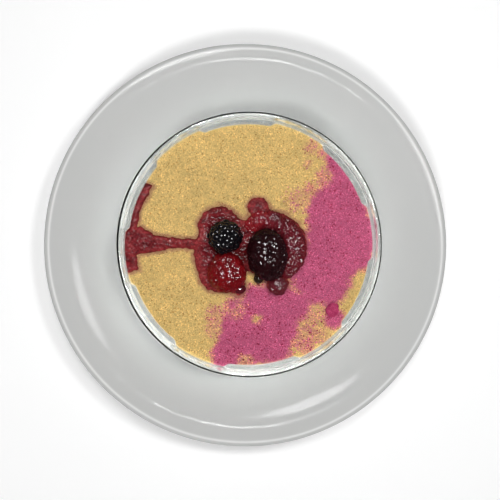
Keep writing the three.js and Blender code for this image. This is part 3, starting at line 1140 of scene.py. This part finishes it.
@dataclass
class PuddingFill:
    """The pudding, up to the crumbs on it. It reaches just into the glass all round."""

    bowl: GlassBowl
    sauce: SaucePool
    dust: BerryDust
    level: float = 47.2
    relief: float = 0.3
    hills: tuple[Layer, ...] = ((0.6, 6.0, 61), (0.4, 1.7, 62))
    bank: float = 1.1
    banks: tuple[Place, ...] = ((218.0, 264.0), (318.0, 352.0))
    bank_fade: float = 4.0
    bank_radii: Place = (58.0, 67.0)
    grip: float = 0.12
    floor_radius: float = 30.0
    wall_gap: float = 0.5
    columns: int = 480
    rings: int = 66
    crumbs_from: Place = (-1.2, -0.6)
    crumb_edge: tuple[Layer, ...] = ((0.4, 2.0, 63),)
    damp_edge: tuple[Layer, ...] = ((0.6, 3.0, 64),)
    damp_reach: Place = (-2.6, -0.1)
    damp_share: float = 0.62
    cream: Colour = (246, 245, 240)
    golden: Colour = (226, 194, 124)
    pink: Colour = (200, 92, 126)
    blush: Colour = (228, 148, 132)
    stain: Colour = (150, 74, 84)
    finish: Finish = Finish(
        "pudding_and_crumbs", WHITE, (200, 200, 204),
        patch=8.0, speck=0.6, patch_share=0.3, speck_share=0.6,
        grain=0.5, relief=0.25, smooth=0.6, dull=0.95, tinted=True,
    )

    def surface(self, place: np.ndarray) -> np.ndarray:
        """Height of the pudding under its crumbs. It climbs the glass along its banks.

        Args:
            place: Places in the plane, one a row.

        Returns:
            The height at each.
        """
        angle = np.degrees(bearing(place)) % 360
        climb = np.zeros(angle.shape)
        for start, end in self.banks:
            rise = ramp(angle, start - self.bank_fade, start + self.bank_fade)
            rise = rise * ramp(angle, end + self.bank_fade, end - self.bank_fade)
            climb = np.maximum(climb, rise)
        climb = climb * ramp(distance(place), *self.bank_radii)
        return self.level + self.relief * layered(place, self.hills) + self.bank * climb

    def shade(self, place: np.ndarray) -> np.ndarray:
        """Colour of the crumbs.

        Args:
            place: Places in the plane, one a row.

        Returns:
            The colour at each.
        """
        colour = mixed(linear_rgb(self.golden), linear_rgb(self.pink), self.dust.share(place))
        return self.stained(colour, place)

    def stained(self, colour: np.ndarray, place: np.ndarray) -> np.ndarray:
        """Darkens colours where sauce has soaked into the crumbs round it.

        Args:
            colour: A colour for each place.
            place: Places in the plane, one a row.

        Returns:
            The colours with the stain.
        """
        reach = self.sauce.inside(place) + layered(place, self.damp_edge)
        damp = self.damp_share * ramp(reach, *self.damp_reach)
        return mixed(colour, linear_rgb(self.stain), damp)

    def solid(self) -> Solid:
        """The pudding as one closed body with its tint.

        Returns:
            The body.
        """
        angle = directions(self.columns)
        edge = self.bowl.reach(angle, self.level) + self.grip
        radius = np.linspace(0, 1, self.rings + 1)[:, None] * edge
        height = self.surface(np.stack([radius * np.cos(angle), radius * np.sin(angle)], -1))
        height[0] = height[0].mean()
        wall_radius, wall_height = self.bowl.inside(angle)
        keep = wall_height.max(1) < self.level - self.wall_gap
        wall_radius, wall_height = wall_radius[keep][::-1], wall_height[keep][::-1]
        wall_radius = wall_radius + np.where(wall_radius > self.floor_radius, self.grip, 0)
        wall_radius[-1] = 0
        solid = spun(np.vstack([radius, wall_radius]), np.vstack([height, wall_height - self.grip]))
        above = solid.points[:, 2] + layered(solid.points, self.crumb_edge) - self.level
        crumbs = ramp(above, *self.crumbs_from)
        crumbs[-1] = 0
        solid.tint = mixed(linear_rgb(self.cream), self.shade(solid.points[:, :2]), crumbs)
        return solid

    def build(self) -> bpy.types.Object:
        """Makes the pudding."""
        return placed("pudding_fill", self.solid(), self.finish, "pudding")


@dataclass(frozen=True)
class Crumb:
    """A kind of crumb: its piece and slot, its colour and how far that varies, its smallest
    and largest radius, and whether berry dust shows on it."""

    name: str
    slot: str
    colour: Colour
    spread: float
    small: float
    large: float
    dusty: bool


class CrumbKind(Enum):
    """The kinds of crumb, in the order in which they are made."""

    GOLDEN = Crumb("golden_crumbs", "pudding_crumbs", (238, 206, 134), 0.30, 0.26, 0.54, True)
    TOASTED = Crumb("toasted_crumbs", "pudding_crumbs", (190, 144, 78), 0.30, 0.26, 0.52, True)
    PINK = Crumb("pink_crumbs", "dried_berry", (217, 112, 150), 0.36, 0.24, 0.52, False)
    RUBY = Crumb("ruby_crumbs", "dried_berry", (160, 50, 76), 0.25, 0.30, 0.62, False)

    @property
    def number(self) -> int:
        """The kind's place in that order, from 0."""
        return list(CrumbKind).index(self)


@dataclass
class CrumbCover:
    """The crumbs and the coarse berry dust strewn over the pudding, as real chunks."""

    fill: PuddingFill
    pitch: float = 0.70
    jitter: float = 0.42
    gap: float = 0.3
    sauce_reach: Place = (-0.5, 0.35)
    seed: int = 17
    toasted_share: float = 0.10
    ruby_share: float = 0.07
    speckle_share: float = 0.22
    speckle_from: float = 0.1
    speckle_to: float = 0.6
    dusted: float = 0.8
    smallness: float = 1.6
    stretch: Place = (0.7, 1.25)
    skew: float = 0.22
    flatness: float = 0.8
    bedding: float = 0.28
    dusty_share: Place = (0.05, 0.6)
    least_patchy: float = 0.4
    patchiness: float = 1.2
    patchy: tuple[Layer, ...] = ((0.5, 5.0, 71),)
    cloudy: tuple[Layer, ...] = ((0.11, 9.0, 72), (0.12, 2.4, 73))

    def middles(self, random: np.random.Generator) -> np.ndarray:
        """Places of the crumbs in the plane, an even scatter inside the glass.

        Args:
            random: Where the random numbers come from.

        Returns:
            The places.
        """
        reach = self.fill.bowl.wall_radius
        xs = np.arange(-reach, reach, self.pitch)
        ys = np.arange(-reach, reach, self.pitch * 0.87)
        grid = np.stack(np.meshgrid(xs, ys, indexing="ij"), -1)
        grid[:, ::2, 0] += self.pitch / 2
        place = grid.reshape(-1, 2)
        place = place + self.pitch * self.jitter * random.uniform(-1, 1, place.shape)
        wall = self.fill.bowl.reach(bearing(place), self.fill.level) - self.gap
        dry = self.fill.sauce.inside(place) < random.uniform(*self.sauce_reach, len(place))
        return place[(distance(place) < wall) & dry]

    def kinds(self, place: np.ndarray, random: np.random.Generator) -> np.ndarray:
        """Draws the kind of each crumb.

        Args:
            place: Places of the crumbs.
            random: Where the random numbers come from.

        Returns:
            The number of each crumb's kind.
        """
        share = self.fill.dust.share(place)
        pink = random.random(len(place)) < share
        patchy = self.least_patchy + self.patchiness * (0.5 + layered(place, self.patchy))
        dark = random.random(len(place))
        ruby = dark < self.ruby_share * patchy
        toasted = dark < self.toasted_share * patchy
        between = (share > self.speckle_from) & (share < self.speckle_to)
        ruby |= between & (dark < self.speckle_share)
        kind = np.where(pink, CrumbKind.PINK.number, CrumbKind.GOLDEN.number)
        kind = np.where(pink & ruby, CrumbKind.RUBY.number, kind)
        return np.where(~pink & toasted, CrumbKind.TOASTED.number, kind)

    def chunks(self, crumb: Crumb, place: np.ndarray, random: np.random.Generator) -> Solid:
        """Makes the chunks of one kind as one mesh.

        Args:
            crumb: Which kind.
            place: Places of the crumbs in the plane.
            random: Where the random numbers come from.

        Returns:
            The mesh with a shade for each crumb.
        """
        count = len(place)
        corners = np.array([
            [1, 0, 0], [-1, 0, 0], [0, 1, 0], [0, -1, 0], [0, 0, 1], [0, 0, -1]
        ], float)
        sides = np.array([
            [0, 2, 4], [2, 1, 4], [1, 3, 4], [3, 0, 4], [2, 0, 5], [1, 2, 5], [3, 1, 5], [0, 3, 5]
        ])
        radius = crumb.small + (crumb.large - crumb.small) * random.random(count) ** self.smallness
        turn = self._turns(count, random)
        shape = corners[None] * random.uniform(*self.stretch, (count, 6, 1))
        shape = shape + random.uniform(-self.skew, self.skew, shape.shape)
        shape = np.einsum("nij,nkj->nki", turn, shape) * radius[:, None, None]
        shape[..., 2] *= self.flatness
        middle = np.column_stack([place, self.fill.surface(place) + self.bedding * radius])
        points = (shape + middle[:, None, :]).reshape(-1, 3)
        tris = (sides[None] + 6 * np.arange(count)[:, None, None]).reshape(-1, 3)
        shade = linear_rgb(crumb.colour) * (1 + crumb.spread * random.uniform(-1, 1, (count, 1)))
        shade = shade * (1 + layered(place, self.cloudy))[:, None]
        if crumb.dusty:
            blush = linear_rgb(self.fill.blush)
            pinker = shade.mean(1)[:, None] * blush / blush.mean()
            dusted = self.dusted * ramp(self.fill.dust.share(place), *self.dusty_share)
            shade = mixed(shade, pinker, dusted)
        shade = self.fill.stained(shade, place)
        return Solid(points, tris=tris, tint=np.repeat(shade, 6, axis=0))

    @staticmethod
    def _turns(count: int, random: np.random.Generator) -> np.ndarray:
        """Random turns in space.

        Args:
            count: How many.
            random: Where the random numbers come from.

        Returns:
            One turning matrix each.
        """
        q = random.normal(size=(count, 4))
        q /= np.linalg.norm(q, axis=1)[:, None]
        w, x, y, z = q.T
        rows = [
            [1 - 2 * (y * y + z * z), 2 * (x * y - z * w), 2 * (x * z + y * w)],
            [2 * (x * y + z * w), 1 - 2 * (x * x + z * z), 2 * (y * z - x * w)],
            [2 * (x * z - y * w), 2 * (y * z + x * w), 1 - 2 * (x * x + y * y)],
        ]
        return np.array(rows).transpose(2, 0, 1)

    def build(self) -> list[bpy.types.Object]:
        """Makes the crumbs.

        Returns:
            One piece a kind.
        """
        random = np.random.default_rng(self.seed)
        place = self.middles(random)
        drawn = self.kinds(place, random)
        pieces = []
        for kind in CrumbKind:
            crumb = kind.value
            solid = self.chunks(crumb, place[drawn == kind.number], random)
            finish = Finish(
                crumb.name, WHITE, (205, 205, 208),
                patch=3.0, speck=0.35, patch_share=0.35, speck_share=0.4,
                grain=0.25, relief=0.05, smooth=0.55, dull=0.9, tinted=True,
            )
            pieces.append(placed(crumb.name, solid, finish, smooth=False))
        return pieces


# ---------------------------------------------------------------- berries


def spiral_middles(radii: Point, pitch: float, lowest: float) -> np.ndarray:
    """Middles of drupelets, set evenly on a spiral over an ellipsoid about the origin.

    Args:
        radii: The ellipsoid's radii.
        pitch: Distance between drupelets.
        lowest: How far down they go, -1 for the bottom and 1 for the top.

    Returns:
        The middles.
    """
    mean = sum(radii) / 3
    total = round(4 * math.pi * mean * mean / (0.87 * pitch * pitch))
    index = np.arange(total)
    up = 1 - 2 * (index + 0.5) / total
    flat = np.sqrt(1 - up * up)
    turn = math.pi * (3 - math.sqrt(5)) * index
    unit = np.stack([flat * np.cos(turn), flat * np.sin(turn), up], -1)
    return unit[up > lowest] * np.array(radii)


@dataclass
class BerryPiece:
    """A piece of berry: which piece and node it is, its middle, radii, finish and seed."""

    name: str
    node: str
    slot: str
    centre: Point
    radii: Point
    finish: Finish
    seed: int

    def solid(self) -> Solid:
        """The piece's shape."""
        raise NotImplementedError

    def build(self) -> bpy.types.Object:
        """Makes the piece."""
        return placed(self.name, self.solid(), self.finish, self.node)


@dataclass
class Berry(BerryPiece):
    """A berry: an ellipsoid of flesh, turned about Z, with drupelets on its upper side."""

    turn: float
    pitch: float
    height: float
    clad_from: float = -0.25

    def set_in_place(self, points: np.ndarray) -> np.ndarray:
        """Turns points about the berry's own middle and moves them to its place.

        Args:
            points: The points, one a row.

        Returns:
            The points in their places.
        """
        cos, sin = math.cos(self.turn), math.sin(self.turn)
        x = points[:, 0] * cos - points[:, 1] * sin
        y = points[:, 0] * sin + points[:, 1] * cos
        return np.column_stack([x, y, points[:, 2]]) + np.array(self.centre)


@dataclass
class BeadedBerry(Berry):
    """A firm berry, whose drupelets are separate shiny beads round a core."""

    level: int = 4
    core_level: int = 5
    core_inset: float = 0.25
    sizes: Place = (0.5, 0.66)
    lean: float = 0.25
    flattest: float = 0.35
    scatter: float = 0.07
    sunk: Place = (-0.3, 0.15)

    def solid(self) -> Solid:
        """The beads and the core.

        Returns:
            All of them in one mesh.
        """
        random = np.random.default_rng(self.seed)
        radii = np.array(self.radii)
        unit, tris = ball(self.level)
        core, core_tris = ball(self.core_level)
        core_radii = radii - self.core_inset * self.pitch
        parts = [Solid(self.set_in_place(core * core_radii), tris=core_tris)]
        for middle in spiral_middles(self.radii, self.pitch, self.clad_from - 0.2):
            out = middle / radii**2
            out /= np.linalg.norm(out)
            size = self.pitch * random.uniform(*self.sizes)
            bead = unit * size
            lean = out + self.lean * random.normal(size=3)
            lean /= np.linalg.norm(lean)
            bead += lean * (bead @ lean)[:, None] * random.uniform(-self.flattest, 0.0)
            shift = middle + random.normal(size=3) * self.scatter * self.pitch
            shift += out * (self.height - size + random.uniform(*self.sunk))
            parts.append(Solid(self.set_in_place(bead + shift), tris=tris))
        return Solid.joined(parts)


@dataclass
class SoftBerry(Berry):
    """A soft, wet berry, whose drupelets have sunk into one skin. A dent is a place from
    the berry's middle and a depth."""

    level: int = 7
    slump: float = 0.6
    slump_pitch: float = 5.0
    pulp: float = 0.12
    pulp_pitch: float = 0.95
    scatter: float = 0.14
    rises: Place = (0.55, 1.15)
    drupelet: float = 0.62
    dents: tuple[Point, ...] = ()
    dent_width: float = 4.5

    def solid(self) -> Solid:
        """The berry's skin as one closed surface.

        Returns:
            The surface.
        """
        unit, tris = ball(self.level)
        flesh = unit * np.array(self.radii)
        random = np.random.default_rng(self.seed)
        middles = spiral_middles(self.radii, self.pitch, self.clad_from - 0.1)
        middles = middles + random.normal(size=middles.shape) * self.scatter * self.pitch
        tall = self.height * random.uniform(*self.rises, len(middles))
        swell = np.zeros(len(flesh))
        for middle, rise in zip(middles, tall):
            away = np.linalg.norm(flesh - middle, axis=1) / (self.pitch * self.drupelet)
            swell = np.maximum(swell, rise * np.sqrt(np.clip(1 - away**2, 0.0, None)))
        upper = ramp(unit[:, 2], self.clad_from - 0.4, self.clad_from + 0.3)
        sag = self.slump * noise(flesh, self.slump_pitch, self.seed)
        pulp = self.pulp * (grains(flesh, self.pulp_pitch, self.seed + 1) - 0.5)
        for x, y, depth in self.dents:
            near = distance(flesh, x, y) / self.dent_width
            sag = sag - depth * np.exp(-(near**2)) * ramp(unit[:, 2], 0.0, 0.6)
        out = unit / np.linalg.norm(unit, axis=1)[:, None]
        points = flesh + out * (swell + upper * (sag + pulp))[:, None]
        return Solid(self.set_in_place(points), tris=tris)


@dataclass
class Lump(BerryPiece):
    """A small uneven lump, such as a single drupelet or a scrap of berry."""

    unevenness: float
    level: int = 5

    def solid(self) -> Solid:
        """The lump as one closed surface.

        Returns:
            The surface.
        """
        unit, tris = ball(self.level)
        size = min(self.radii)
        swell = 1 + self.unevenness * noise(unit * size, 0.8 * size, self.seed)
        swell += 0.5 * self.unevenness * (grains(unit * size, 0.5 * size, self.seed) - 0.5)
        points = unit * swell[:, None] * np.array(self.radii) + np.array(self.centre)
        return Solid(points, tris=tris)


@dataclass
class CrushedFlesh:
    """Crushed, sparkling berry flesh in a horseshoe round the large berry."""

    centre: Place = (8.6, -3.2)
    radius: float = 16.0
    start: float = math.radians(134)
    end: float = math.radians(-60)
    half_width: float = 5.1
    half_height: float = 2.8
    level: float = 48.1
    lengthwise: int = 410
    around: int = 82
    winding: Layer = (0.7, 4.0, 81)
    bulge: float = 0.12
    sway: float = 0.5
    lumps: tuple[Layer, ...] = ((1.1, 1.6, 82), (0.55, 0.9, 83))
    swells: tuple[Layer, ...] = ((0.7, 4.0, 84),)
    sunk: float = 0.6
    slant: float = 0.4
    fresh_from: Place = (9.0, -5.0)
    darkening: tuple[Layer, ...] = ((2.5, 3.0, 85),)
    fresh: Colour = (150, 26, 34)
    dark: Colour = (108, 24, 34)
    finish: Finish = Finish(
        "crushed_flesh", WHITE, (150, 130, 140),
        patch=4.0, speck=0.6, patch_share=0.4, speck_share=0.4,
        grain=0.6, relief=0.14, smooth=0.5, dull=0.7, tinted=True, coat=0.5, specular=0.02,
    )

    def solid(self) -> Solid:
        """The horseshoe as one closed body with its tint.

        Returns:
            The body.
        """
        even = np.linspace(-1, 1, self.lengthwise + 1)
        along = 0.5 * np.sin(even * math.pi / 2) + 0.5 * even
        section = np.sqrt(np.clip(1 - along**6, 0, 1))[:, None]
        facing = directions(self.around)
        across = self.half_width * section * np.cos(facing)
        up = self.half_height * section * np.sin(facing)
        middle, half = (self.start + self.end) / 2, (self.start - self.end) / 2
        angle = (middle - along * half)[:, None]
        track = np.column_stack([angle * self.radius, angle * 0])
        ragged = layered(track, [self.winding])[:, None]
        radius = self.radius + across * (1 + self.bulge * ragged) + self.sway * ragged
        cos, sin = np.cos(angle), np.sin(angle)
        rings = np.stack([
            self.centre[0] + radius * cos, self.centre[1] + radius * sin, self.level + up
        ], -1)
        ends = np.stack([rings[0].mean(0), rings[-1].mean(0)])
        rings = rings[1:-1]
        level = np.sin(facing) + 0 * angle
        out = np.stack([np.cos(facing) * cos, np.cos(facing) * sin, level], -1)[1:-1]
        lump = layered(rings, self.lumps, grains) + layered(rings, self.swells) - self.sunk
        rings = rings + out * (lump * section[1:-1])[..., None]
        solid = sleeve(rings, ends, turned=True)
        solid.tint = self.shade(solid.points)
        return solid

    def shade(self, points: np.ndarray) -> np.ndarray:
        """Fresh red at the upper left end, darker towards the lower right end.

        Args:
            points: Points in space, one a row.

        Returns:
            The colour of each.
        """
        along = points[:, 0] - self.slant * points[:, 1] + layered(points, self.darkening)
        return mixed(linear_rgb(self.dark), linear_rgb(self.fresh), ramp(along, *self.fresh_from))

    def build(self) -> bpy.types.Object:
        """Makes the crushed flesh."""
        return placed("crushed_flesh", self.solid(), self.finish, "crushed_raspberry")


def berries() -> list[BerryPiece]:
    """The berries and the small single pieces, with their sizes and finishes.

    Returns:
        The pieces, in the order in which they are made.
    """
    black = Finish(
        "black_skin", (11, 7, 11), (7, 4, 9),
        patch=3.0, speck=0.5, patch_share=0.6, speck_share=0.3,
        grain=1.0, relief=0.08, smooth=0.5, dull=0.7, coat=0.55,
    )
    maroon = Finish(
        "maroon_skin", (38, 7, 11), (18, 4, 7),
        patch=4.0, speck=0.6, patch_share=0.6, speck_share=0.4,
        grain=0.8, relief=0.14, smooth=0.5, dull=0.7, coat=0.28, specular=0.02,
    )
    red = Finish(
        "red_flesh", (126, 8, 16), (88, 5, 10),
        patch=4.0, speck=0.6, patch_share=0.7, speck_share=0.4,
        grain=0.7, relief=0.10, smooth=0.5, dull=0.7, coat=0.55, flesh=0.15,
    )
    lobe = Finish(
        "lobe_flesh", (102, 32, 42), (72, 18, 26),
        patch=2.5, speck=0.5, patch_share=0.6, speck_share=0.4,
        grain=0.6, relief=0.16, smooth=0.5, dull=0.7, coat=0.6, specular=0.02,
    )
    olive = Finish(
        "bead_skin", (44, 32, 18), (20, 14, 10),
        patch=1.5, speck=0.5, patch_share=0.6, speck_share=0.3,
        grain=0.6, relief=0.03, smooth=0.4, dull=0.6, coat=0.7,
    )
    scrap = Finish(
        "scrap_flesh", (92, 24, 34), (60, 14, 22),
        patch=1.5, speck=0.5, patch_share=0.6, speck_share=0.4,
        grain=0.5, relief=0.10, smooth=0.5, dull=0.7, coat=0.4, specular=0.02,
    )
    dried = Finish(
        "dried_skin", (192, 74, 112), (150, 46, 82),
        patch=2.0, speck=0.5, patch_share=0.7, speck_share=0.6,
        grain=0.4, relief=0.2, smooth=0.6, dull=0.95,
    )
    return [
        BeadedBerry(
            "dark_bramble_beads", "dark_bramble", "black_berry_skin",
            (-13.5, 3.9, 53.0), (8.8, 8.4, 8.4), black, seed=3,
            turn=math.radians(20), pitch=3.5, height=1.1,
        ),
        SoftBerry(
            "large_berry_skin", "large_dark_berry", "maroon_berry_skin",
            (9.4, -5.7, 52.6), (10.2, 13.3, 9.0), maroon, seed=5,
            turn=math.radians(6), pitch=3.9, height=1.1, dents=((0.5, 2.5, 2.2),),
        ),
        SoftBerry(
            "raspberry_flesh", "raspberry", "red_berry_flesh",
            (-12.4, -15.1, 50.6), (9.9, 10.2, 6.0), red, seed=7,
            turn=math.radians(35), pitch=3.7, height=0.8, slump=0.4, pulp=0.36,
        ),
        SoftBerry(
            "raspberry_lobe_flesh", "raspberry_lobe", "red_berry_flesh",
            (15.3, -22.4, 49.6), (4.6, 4.4, 3.0), lobe, seed=9,
            turn=0.0, pitch=3.0, height=0.8, level=6, slump=0.3, pulp=0.34,
        ),
        Lump(
            "dark_bead_skin", "dark_bead", "black_berry_skin",
            (4.7, -18.6, 50.4), (2.7, 2.7, 2.4), olive, seed=5, unevenness=0.05,
        ),
        Lump(
            "berry_scrap_flesh", "berry_scrap", "red_berry_flesh",
            (-5.0, -24.4, 49.6), (2.8, 2.3, 1.7), scrap, seed=7, unevenness=0.22,
        ),
        Lump(
            "dried_berry_piece", "dried_raspberry", "dried_berry",
            (44.9, -35.6, 48.5), (3.9, 3.3, 1.3), dried, seed=3, unevenness=0.3,
        ),
    ]


# ---------------------------------------------------------------- studio


@dataclass(frozen=True)
class Lamp:
    """A round lamp that points at the dessert. It either only makes glints or only lights."""

    name: str
    place: Point
    size: float
    watts: float
    glints: bool
    aim: Point = (0.0, 0.0, 40.0)

    def hang(self) -> None:
        """Adds the lamp to the scene."""
        light = bpy.data.lights.new(self.name, "AREA")
        light.shape = "DISK"
        light.size = self.size * MM
        light.energy = self.watts
        lamp = bpy.data.objects.new(self.name, light)
        lamp.location = Vector(self.place) * MM
        aim = Vector(self.aim) - Vector(self.place)
        lamp.rotation_euler = aim.to_track_quat("-Z", "Y").to_euler()
        lamp.visible_glossy = self.glints
        lamp.visible_diffuse = not self.glints
        bpy.context.scene.collection.objects.link(lamp)


@dataclass
class Studio:
    """The pale floor, the soft light and the camera, which looks down on the dessert."""

    floor_size: float = 4000.0
    camera_place: Point = (-24.158, -5.140, 520.0)
    camera_aim: Point = (1.383, -2.895, 25.5)
    lens: float = 62.688
    sensor: float = 36.0
    overhead: float = 0.16
    horizon: float = 0.2
    horizon_from: float = 0.35
    overhead_from: float = 0.95
    backdrop: float = 0.85
    glossy_share: float = 0.25
    through_share: float = 3.2
    lamps: tuple[Lamp, ...] = (
        Lamp("upper_lamp", (-37, 115, 600), 110, 0.88, False),
        Lamp("right_lamp", (150, 75, 560), 110, 0.90, False),
        Lamp("window", (-494, -1356, 2500), 700, 34.0, False),
        Lamp("upper_glint", (-20, 130, 600), 80, 2.9, True),
        Lamp("right_glint", (150, 50, 590), 80, 1.9, True),
        Lamp("line_glint", (30, 28, 600), 14, 0.3, True),
    )
    finish: Finish = Finish(
        "pale_floor", (250, 250, 250), (247, 247, 247),
        patch=200.0, speck=40.0, patch_share=0.5, speck_share=0.2,
        grain=30.0, relief=0.01, smooth=0.7, dull=0.8, specular=0.0, glow=0.12,
    )

    def floor(self) -> None:
        """Makes the floor."""
        half = self.floor_size / 2
        corners = np.array([[-half, -half, 0], [half, -half, 0], [half, half, 0], [-half, half, 0]])
        mesh = Solid(corners, quads=np.array([[0, 1, 2, 3]])).mesh("floor", False)
        piece = bpy.data.objects.new("floor", mesh)
        bpy.context.scene.collection.objects.link(piece)
        mesh.materials.append(self.finish.material())

    def world(self) -> None:
        """Makes the surrounding light and the pale backdrop that the camera sees."""
        world = bpy.data.worlds.new("studio")
        bpy.context.scene.world = world
        bench = Bench.cleared(world)
        place = bench.add("TexCoord").outputs["Generated"]
        strength = bench.add("MapRange", {
            "Value": bench.add("SeparateXYZ", {0: place}).outputs["Z"],
            "From Min": self.horizon_from,
            "From Max": self.overhead_from,
            "To Min": self.horizon,
            "To Max": self.overhead,
        }, interpolation_type="SMOOTHSTEP")
        rays = bench.add("LightPath").outputs
        soft = strength.outputs[0]
        for kind, share in (("Glossy", self.glossy_share), ("Transmission", self.through_share)):
            limits = {"Value": rays[f"Is {kind} Ray"], "To Min": 1.0, "To Max": share}
            soft = bench.math("MULTIPLY", soft, bench.add("MapRange", limits).outputs[0])
        inputs = {0: rays["Is Camera Ray"], 2: soft, 3: self.backdrop}
        sky = bench.add("Background", {"Strength": bench.add("Mix", inputs).outputs[0]})
        bench.add("OutputWorld", {"Surface": sky.outputs[0]})

    def camera(self) -> None:
        """Makes the camera, with the photograph's place, aim and lens."""
        data = bpy.data.cameras.new("camera")
        data.lens = self.lens
        data.sensor_width = self.sensor
        camera = bpy.data.objects.new("camera", data)
        place, aim = Vector(self.camera_place) * MM, Vector(self.camera_aim) * MM
        forward = (aim - place).normalized()
        right = forward.cross(Vector((0, 1, 0))).normalized()
        up = right.cross(forward)
        turn = [[right[i], up[i], -forward[i]] for i in range(3)]
        matrix = [[*turn[i], place[i]] for i in range(3)] + [[0, 0, 0, 1]]
        camera.matrix_world = Matrix(matrix)
        bpy.context.scene.collection.objects.link(camera)
        bpy.context.scene.camera = camera

    def build(self) -> None:
        """Makes the whole studio."""
        self.floor()
        self.world()
        for lamp in self.lamps:
            lamp.hang()
        self.camera()
        bpy.context.scene.view_settings.view_transform = "Standard"


# ---------------------------------------------------------------- dessert


def main() -> None:
    """Builds every piece in order and reports it."""
    logging.basicConfig(level=logging.INFO, format="%(name)s %(message)s", stream=sys.stdout)
    bowl = GlassBowl()
    sauce = SaucePool(bowl)
    fill = PuddingFill(bowl, sauce, BerryDust())
    parts: list = [SoupPlate(), bowl, fill, CrumbCover(fill), sauce, CrushedFlesh()]
    parts += [*berries(), Studio()]
    for part in parts:
        LOG.info("building %s", type(part).__name__)
        part.build()


if __name__ == "__main__":
    main()
